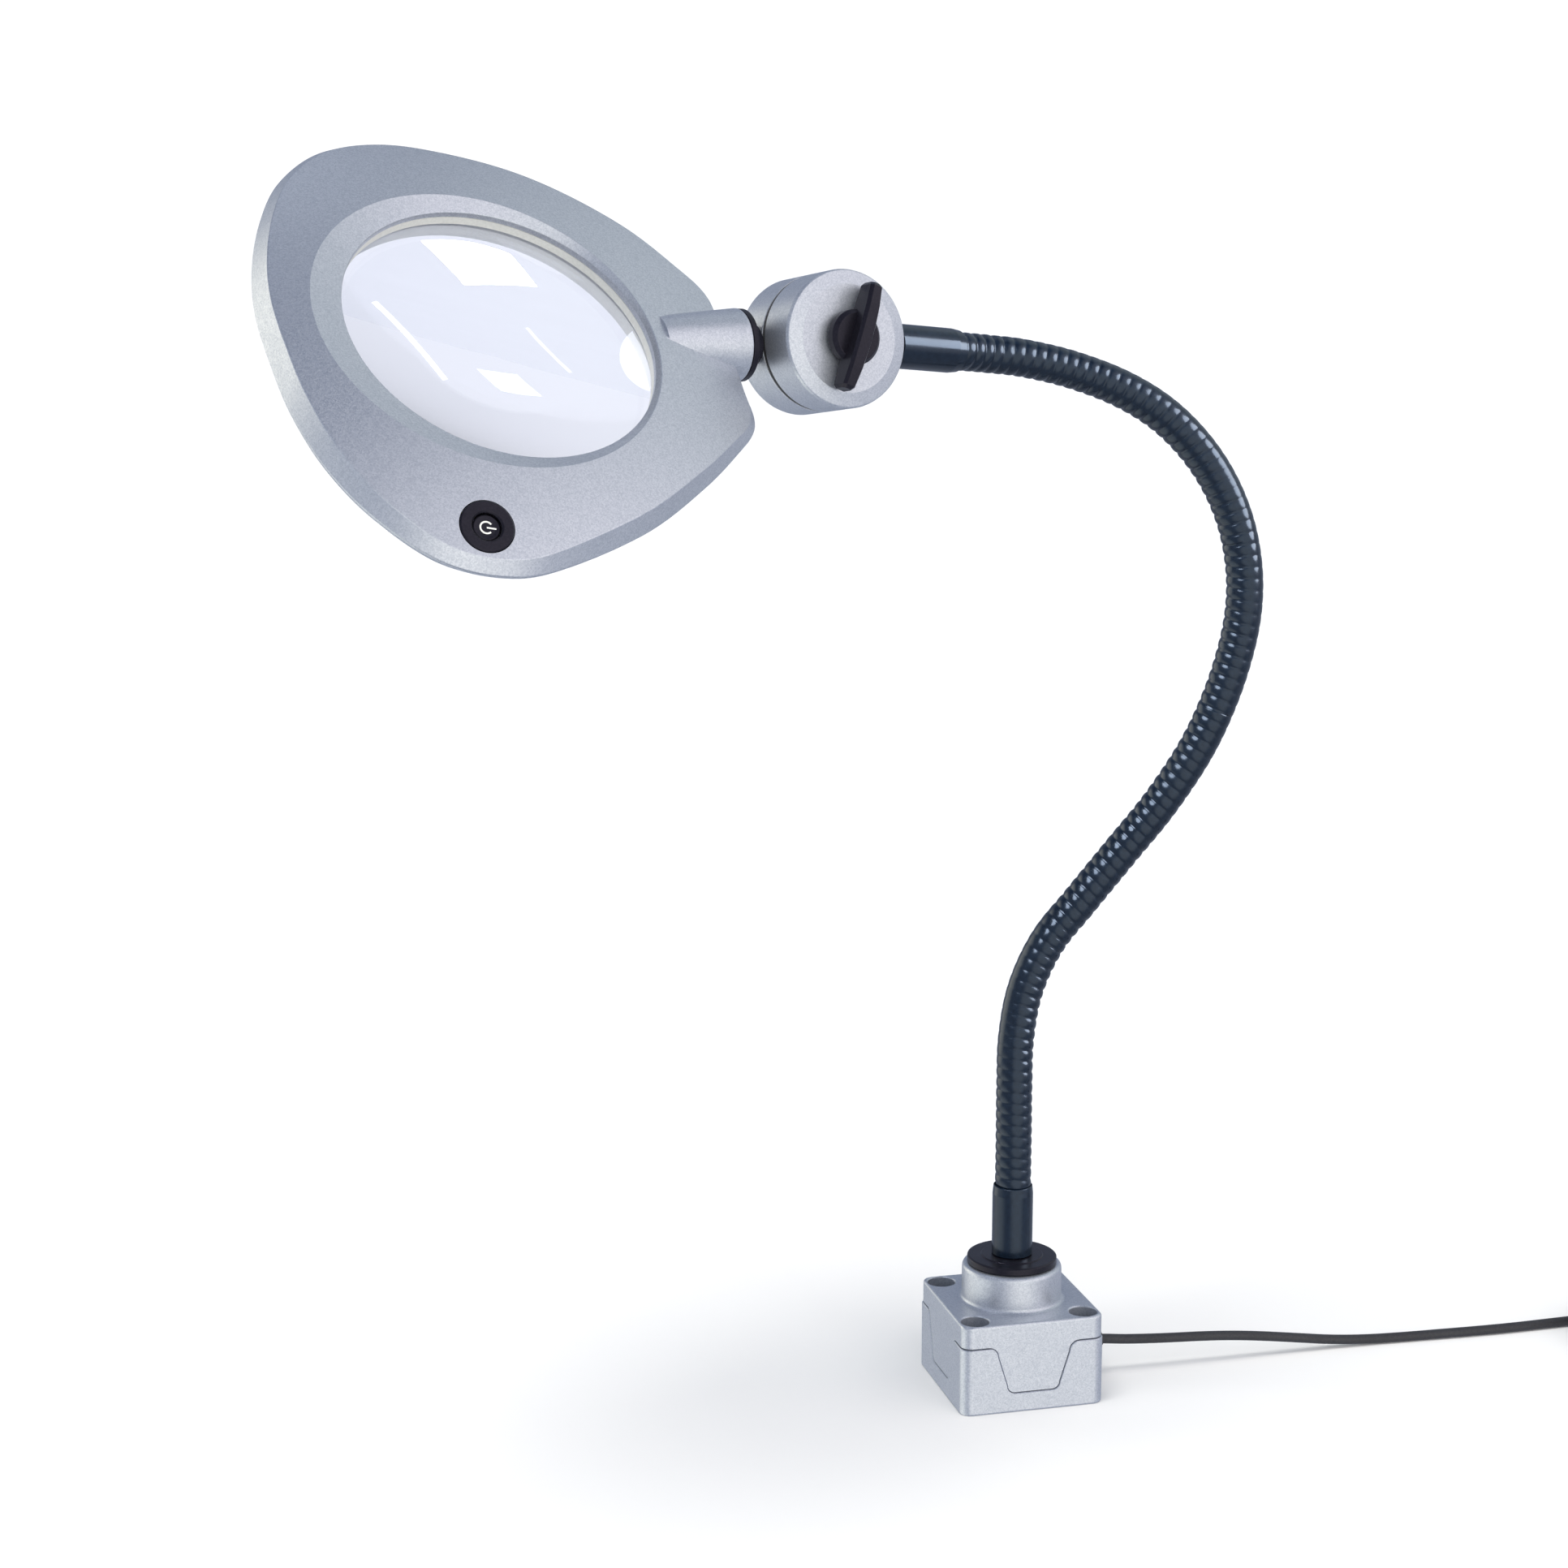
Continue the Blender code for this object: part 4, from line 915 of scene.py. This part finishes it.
def neck_rings(path, sides=44, per_rib=9):
    """Rings along the neck. Its skin follows a wound core: narrow grooves on a helix, which smooth out
    where a bend stretches it and close up on the inside."""
    step = RIB_PITCH / per_rib
    count = int(path.length / step)
    side = Vector((1, 0, 0))
    rings = []
    for i in range(count + 1):
        distance = path.length * i / count
        tangent = path.tangent(distance)
        bend = (path.tangent(distance + 6 * MM) - path.tangent(distance - 6 * MM)) / (12 * MM)
        side = (side - side.dot(tangent) * tangent).normalized()
        up = tangent.cross(side)
        centre = path.at(distance)
        points = []
        for k in range(sides):
            angle = math.tau * k / sides
            outwards = math.cos(angle) * side + math.sin(angle) * up
            stretch = min(max(-outwards.dot(bend) * 0.09, -0.35), 0.7)
            phase = distance / RIB_PITCH + k / sides
            swell = abs(math.sin(math.pi * phase)) ** 0.42
            radius = NECK_RADIUS - RIB_DEPTH * (1 - stretch) * (1 - swell)
            points.append(centre + radius * outwards)
        rings.append(points)
    return rings


def make_neck():
    """Six lengths of skin, each laid over one joint. They meet halfway between the joints."""
    path = neck_path()
    rings = neck_rings(path)
    bends = [NECK_FIRST_JOINT + NECK_JOINT_STEP * k for k in range(NECK_JOINTS)]
    edges = [0.0] + [(a + b) / 2 for a, b in zip(bends, bends[1:])] + [path.length]
    marks = [round((len(rings) - 1) * edge / path.length) for edge in edges]
    for k, bend in enumerate(bends):
        skin = loft(f"neck_skin_{k + 1}", rings[marks[k] : marks[k + 1] + 1])
        nodes = [f"neck_segment_{k + 1}"] + (["neck_segment_7"] if k == NECK_JOINTS - 1 else [])
        hand_over(skin, None, "neck_sheath", *nodes, flat_shading=False)
        skin.data.set_sharp_from_angle(angle=math.radians(80))
        start, end = path.at(bend - BEND_REACH), path.at(bend + BEND_REACH)
        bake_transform(skin)


def make_glints():
    """Two lamps that only the neck mirrors, as rows of glints along its ribs."""
    neck = [made for made in bpy.data.objects if made.name.startswith("neck_skin_")]
    neck += [bpy.data.objects[name] for name in ("neck_foot_sleeve", "neck_end_sleeve")]
    for name, energy, direction in (
        ("glint_left", 3.5, (-0.56, -0.4, 0.71)),
        ("glint_right", 2.8, (0.78, -0.40, 0.34)),
    ):
        only_on(add_light("SUN", name, energy, (0.95, 0.97, 1.0), direction=direction, size=36), *neck)


# ---------------------------------------------------------------- clamp joint


def make_joint():
    lies = JOINT_FRAME @ radial(NECK_SOCKET_Z)
    seam = 0.95  # half the gap between the drum's halves, in millimetres
    front = [
        (3.3, 18.3, 0.2), (19.3, 18.3, 0.5), (24.35, 16.9, 0.7), (24.7, 15.6, 0.5), (24.7, seam, 0.25),
        (21.9, seam, 0), (21.9, 15.2, 0), (7.6, 15.2, 0), (7.6, seam, 0), (3.3, seam, 0),
    ]
    drum = turned("drum_front_half", front, JOINT_FRAME, 160)
    cut(drum, drill(4.4, 12, 30, lies))
    hand_over(drum, "joint_front", "silver_paint", "drum_front")
    sleeve = [(7.3, 52.7, 0), (7.65, 52.5, 0.2), (8.1, 49.2, 2.5), (8.1, 24.2, 0), (7.3, 24.2, 0)]
    top = turned("neck_end_sleeve", sleeve, lies, 96)
    cut(top, drill(25.0, -20, 30, JOINT_FRAME, 160))
    hand_over(top, "joint_front", "neck_sheath", "neck_top_sleeve")
    rear = [
        (9.0, -seam, 0), (9.0, -15.6, 0), (21.9, -15.6, 0), (21.9, -seam, 0), (24.7, -seam, 0.25),
        (24.7, -15.9, 0.5), (24.35, -17.2, 0.7), (19.3, -18.6, 0.5), (7.0, -18.6, 0.3), (7.0, -13.8, 0.2),
        (3.3, -13.8, 0), (3.3, -seam, 0),
    ]
    back = turned("drum_rear_half", rear, JOINT_FRAME, 160)
    stem_line = frame_matrix(HEAD_CENTRE, HEAD_AXIS, HEAD_UP) @ radial(0)
    cut(back, drill(5.4, 95, 115.5, stem_line))
    hand_over(back, "joint_rear", "silver_paint", "drum_rear")
    washer = [(3.4, 0.85, 0), (24.3, 0.85, 0), (24.3, -0.85, 0), (3.4, -0.85, 0)]
    made = turned("friction_disc", washer, JOINT_FRAME, 128)
    hand_over(made, "joint_rear", "black_rubber", "friction_washer")
    bolt = [
        (0, 23.4, 0), (2.9, 23.2, 0.15), (2.9, -14.1, 0), (6.2, -14.1, 0), (6.55, -14.5, 0.3),
        (6.55, -17.5, 0.5), (0, -17.5, 0),
    ]
    screw = turned("clamp_screw", bolt, JOINT_FRAME, 64)
    cut(screw, drill(2.9, -19, -14.7, JOINT_FRAME, 6))
    hand_over(screw, "joint_front", "zinc_steel", "clamp_bolt")


def make_knob():
    """A moulded disc with a blade across it: chamfered along its top, waisted towards its ends."""
    disc = [(0, 24.4, 0), (8.5, 24.4, 0.5), (9.9, 23.0, 0.7), (9.9, 19.9, 0.3), (0, 19.9, 0)]
    knob = turned("wing_knob", disc, JOINT_FRAME, 96)
    halves = [(4.2, 3.0, 30.4), (11.8, 2.8, 29.8), (18.6, 2.5, 28.5), (19.8, 1.8, 27.3)]
    stations = [(-x, half, top) for x, half, top in reversed(halves)] + halves
    rings = []
    for x, half, top in stations:
        low = 20.7 if abs(x) < 19 else 21.5
        corners = [
            (-half, low, 0.3), (half, low, 0.3), (half, top - 1.4, 0.2), (half - 0.9, top, 0.2),
            (-half + 0.9, top, 0.2), (-half, top - 1.4, 0.2),
        ]
        rings.append([Vector((x * MM, y * MM, z * MM)) for y, z in rounded(corners, 3)])
    turn = JOINT_FRAME @ Matrix.Rotation(math.radians(KNOB_TURN), 4, "Z")
    join(knob, loft("wing", rings, turn))
    cut(knob, drill(4.6, 15, 23.7, JOINT_FRAME))
    hand_over(knob, "knob", "black_plastic", "clamp_knob")
    knob.data.set_sharp_from_angle(angle=math.radians(6))
    washer = [(3.2, 19.6, 0), (7.2, 19.6, 0.2), (7.2, 18.6, 0.2), (3.2, 18.6, 0)]
    made = turned("knob_washer_disc", washer, JOINT_FRAME, 64)
    hand_over(made, "joint_front", "zinc_steel", "knob_washer")


# ---------------------------------------------------------------- head


def outline_radii(sides):
    """How far the head's rim is from the lens's middle, by angle."""
    path = smooth_path([Vector((x, y, 0)) * MM for x, y in HEAD_OUTLINE], 24, closed=True)
    polar = sorted((math.atan2(point.y, point.x), point.length) for point in path)
    polar = [(polar[-1][0] - math.tau, polar[-1][1])] + polar + [(polar[0][0] + math.tau, polar[0][1])]
    angles = [angle for angle, _ in polar]
    radii = []
    for k in range(sides):
        angle = math.tau * k / sides - math.pi
        i = bisect.bisect_right(angles, angle)
        (low, near), (high, far) = polar[i - 1], polar[i]
        radii.append((angle, near + (far - near) * (angle - low) / (high - low)))
    return radii


def crest_radius(angle):
    sideways = CREST_SHIFT * math.sin(angle)
    return CREST_SHIFT * math.cos(angle) + math.sqrt(CREST_RADIUS**2 - sideways**2)


def face_height(outwards):
    return CREST_Z - CROWN_SLOPE * outwards - CROWN_CURVE * outwards**2


def flare(radius, angle):
    return FLARE_NEAR + (FLARE_SIDE - FLARE_NEAR) * min(abs(radius * math.sin(angle)) / (95 * MM), 1)


def lofted_section(name, radii, section):
    """A closed body whose section at each angle is a rounded profile of (radius, height, rounding)."""
    columns = []
    for angle, rim in radii:
        points = rounded(section(angle, rim), 4)
        columns.append([Vector((r * math.cos(angle), r * math.sin(angle), z)) for r, z in points])
    return loft(name, columns, HEAD_FRAME, closed=True)


def top_section(angle, rim):
    crest = crest_radius(angle)
    edge = rim - flare(rim, angle)
    edge_z = face_height(edge - crest)
    section = [
        (APERTURE_RADIUS, LIP_Z, 0.3 * MM),
        (APERTURE_RADIUS, APERTURE_Z, 0.5 * MM),
        (crest, CREST_Z, 0.45 * MM),
    ]
    for share in (0.15, 0.3, 0.45, 0.6, 0.75, 0.88):
        reach = crest + share * (edge - crest)
        section.append((reach, face_height(reach - crest), 0))
    section += [
        (edge, edge_z, 0.9 * MM),
        (rim, RIM_Z, 0.35 * MM),
        (rim - 2.4 * MM, RIM_Z, 0),
        (edge - 2.2 * MM, edge_z - SHELL_WALL, 0),
    ]
    reach = crest + 0.35 * (edge - crest)
    section += [
        (reach, face_height(reach - crest) - SHELL_WALL, 0),
        (max(crest, 58.4 * MM) + 0.6 * MM, CREST_Z - 2.6 * MM, 0),
        (58.6 * MM, LIP_Z, 0),
    ]
    return section


def bottom_section(angle, rim):
    lip = RIM_Z - GAP
    return [
        (rim - 0.5 * MM, lip, 0.3 * MM),
        (rim - 1.0 * MM, -3.6 * MM, 0.8 * MM),
        (rim - 7.6 * MM, -10.6 * MM, 2.5 * MM),
        (rim - 9.6 * MM, UNDERSIDE_Z, 1.2 * MM),
        (WINDOW_RADIUS, UNDERSIDE_Z, 0.4 * MM),
        (WINDOW_RADIUS, -11.0 * MM, 0),
        (rim - 10.0 * MM, -11.0 * MM, 0),
        (rim - 9.2 * MM, -9.8 * MM, 0),
        (rim - 3.2 * MM, -3.6 * MM, 0),
        (rim - 2.8 * MM, lip, 0),
    ]


def boss_profile(grow=0.0):
    """The tapered boss on the stem's line, from (radius, height) at its root to its mouth."""
    start, end = 62.3, 94.9
    low, high = 10.51 + grow, 13.1 + grow
    return [(0, end, 0), (high, end, 0.5), (low, start, 0), (0, start, 0)]


def button_place():
    x, y = BUTTON_AT
    angle = math.atan2(y, x)
    outwards = math.hypot(x, y) - crest_radius(angle)
    slope = CROWN_SLOPE + 2 * CROWN_CURVE * outwards
    normal = Vector((slope * math.cos(angle), slope * math.sin(angle), 1)).normalized()
    return HEAD_FRAME @ along(Vector((x, y, face_height(outwards))), normal)


def make_head():
    radii = outline_radii(HEAD_SIDES)
    stem_line = HEAD_FRAME @ radial(0)
    shell = lofted_section("head_shell", radii, top_section)
    join(shell, turned("boss", boss_profile(), stem_line, 96))
    cut(
        shell,
        drill(61.7, -20, 5.4, HEAD_FRAME, 192),
        drill(9.2, 60, 76.3, stem_line),
        drill(5.5, 70, 110, stem_line),
        drill(9.4, -12, 6, button_place(), 96),
    )
    hand_over(shell, "head", "silver_paint", "head_top_shell")
    cover = lofted_section("head_underside", radii, bottom_section)
    cut(cover, turned("boss_room", boss_profile(0.35), stem_line, 96))
    places = []
    for degrees in HEAD_SCREW_ANGLES:
        turn = math.radians(degrees)
        angle, rim = min(radii, key=lambda pair: abs(pair[0] - turn))
        reach = rim - HEAD_SCREW_INSET
        places.append(HEAD_FRAME @ at(reach * math.cos(angle), reach * math.sin(angle)))
    cut(cover, *[drill(1.5, -20, 0, place, 24) for place in places])
    hand_over(cover, "head", "silver_paint", "head_bottom_cover")
    profile = [
        (0, 0.5, 0), (1.1, 0.2, 0.1), (1.1, -13.1, 0), (2.6, -13.1, 0), (2.3, -14.3, 0.5), (0, -14.4, 0),
    ]
    for k, place in enumerate(places):
        made = screw_body(f"underside_screw_{k + 1}", profile, -14.3, 1.5, place)
        hand_over(made, "head", "zinc_steel", f"head_screw_{k + 1}")


def make_lens():
    """A biconvex lens with ground edges, and the two lights that only it mirrors."""
    radius, rise, low, high = 59.2, 5.2, -1.7, 1.1
    curve = (radius**2 + rise**2) / (2 * rise)
    steps = 28
    domed = []
    for k in range(steps + 1):
        out = radius * math.sin(math.pi / 2 * k / steps)
        domed.append((out, math.sqrt(curve**2 - out**2) - (curve - rise)))
    profile = [(out, high + up, 0) for out, up in domed]
    profile += [(out, low - up, 0) for out, up in reversed(domed)]
    lens = hand_over(turned("magnifier_lens", profile, HEAD_FRAME, 192), "head", "lens_glass", "lens")
    for name, energy, place, side, size in (
        ("window", 3.0, WINDOW_AT, WINDOW_SIDE, (0.17, 0.165)),
        ("strip", 0.1, STRIP_AT, STRIP_SIDE, (0.26, 0.014)),
    ):
        only_on(add_light("AREA", name, energy, (1, 1, 1), place=place, side=side, size=size), lens)


def make_optics():
    parts = [
        (
            "lens_wall", "white_plastic", "lens_light_wall",
            [(55.8, 5.3, 0.2), (58.0, 5.3, 0), (58.0, 2.1, 0), (55.8, 2.1, 0)],
        ),
        (
            "lens_seal", "black_rubber", "lens_gasket",
            [(59.5, 1.1, 0), (61.2, 1.1, 0), (61.2, -1.7, 0), (59.5, -1.7, 0)],
        ),
        (
            "lens_carrier", "white_plastic", "lens_retainer",
            [
                (57.2, -3.2, 0.2), (58.4, -2.0, 0), (61.2, -2.0, 0), (61.2, -4.2, 0), (59.2, -4.2, 0),
                (59.2, -12.8, 0.2), (57.2, -12.8, 0.5),
            ],
        ),
        (
            "light_diffuser", "frosted_plastic", "diffuser",
            [(59.5, -11.4, 0), (69.0, -11.4, 0), (69.0, -12.6, 0.3), (59.5, -12.6, 0.3)],
        ),
    ]
    for name, finish, stands_for, profile in parts:
        hand_over(turned(name, profile, HEAD_FRAME, 192), "head", finish, stands_for)
    ring = [
        (5.4, 102.2, 0), (7.4, 102.2, 0.2), (7.4, 97.5, 0), (12.9, 97.5, 0.4), (12.9, 95.2, 0.3),
        (5.4, 95.2, 0),
    ]
    made = turned("swivel_spacer", ring, HEAD_FRAME @ radial(0), 96)
    hand_over(made, "head", "black_plastic", "swivel_ring")
    end = HEAD_REACH / MM - 13.0
    stem = [(3.0, end, 0), (5.1, end, 0), (5.1, 67.5, 0.3), (3.0, 67.5, 0)]
    made = turned("swivel_stem", stem, HEAD_FRAME @ radial(0), 64)
    hand_over(made, "joint_rear", "zinc_steel", "head_stem")


def make_switch():
    place = button_place()
    bezel = [
        (4.95, -0.25, 0.3), (5.5, 0.35, 0.3), (8.7, 0.35, 0.3), (9.1, -0.05, 0.15), (9.1, -1.2, 0),
        (8.3, -1.2, 0), (8.3, -3.4, 0), (4.95, -3.4, 0),
    ]
    hand_over(turned("switch_rim", bezel, place, 128), "head", "black_plastic", "switch_bezel")
    cap = [
        (0, -1.05, 0), (3.0, -1.0, 0.8), (4.2, -0.8, 0.3), (4.65, -1.1, 0.2), (4.65, -3.6, 0), (1.4, -3.6, 0),
        (1.4, -4.6, 0), (0, -4.6, 0),
    ]
    hand_over(turned("power_button", cap, place, 96), "button", "black_plastic", "switch_button")
    make_power_mark(place @ Matrix.Rotation(math.radians(6), 4, "Z"))


def make_power_mark(place):
    """The plain power symbol: an open ring and a bar through its gap, a little proud of the button."""
    low, high, stroke, radius = -1.1 * MM, -0.93 * MM, 0.29 * MM, 2.05 * MM
    up, down = Vector((0, 0, high)), Vector((0, 0, low))
    gap, steps = 42, 40
    bend = []
    for k in range(steps + 1):
        angle = math.radians(gap + (360 - 2 * gap) * k / steps)
        outwards = Vector((math.cos(angle), math.sin(angle), 0))
        near, far = outwards * (radius - stroke), outwards * (radius + stroke)
        bend.append([near + down, far + down, far + up, near + up])
    hand_over(loft("power_mark_arc", bend, place), "button", "white_plastic")
    start, end, corner = 0.1 * MM, 3.3 * MM, 0.1 * MM
    bar = rounded([(start, -stroke, 0), (end, -stroke, corner), (end, stroke, corner), (start, stroke, 0)])
    rings = [[(x, y, level) for x, y in bar] for level in (low, high)]
    hand_over(loft("power_mark_bar", rings, place), "button", "white_plastic")


# ---------------------------------------------------------------- whole


def main():
    make_camera()
    make_stage()
    paint_frame()
    lead = make_cord()
    plug = make_plug()
    make_tie()
    make_neck()
    make_base()
    make_base_hardware()
    make_joint()
    make_knob()
    make_head()
    make_lens()
    make_optics()
    make_switch()
    make_glints()


main()
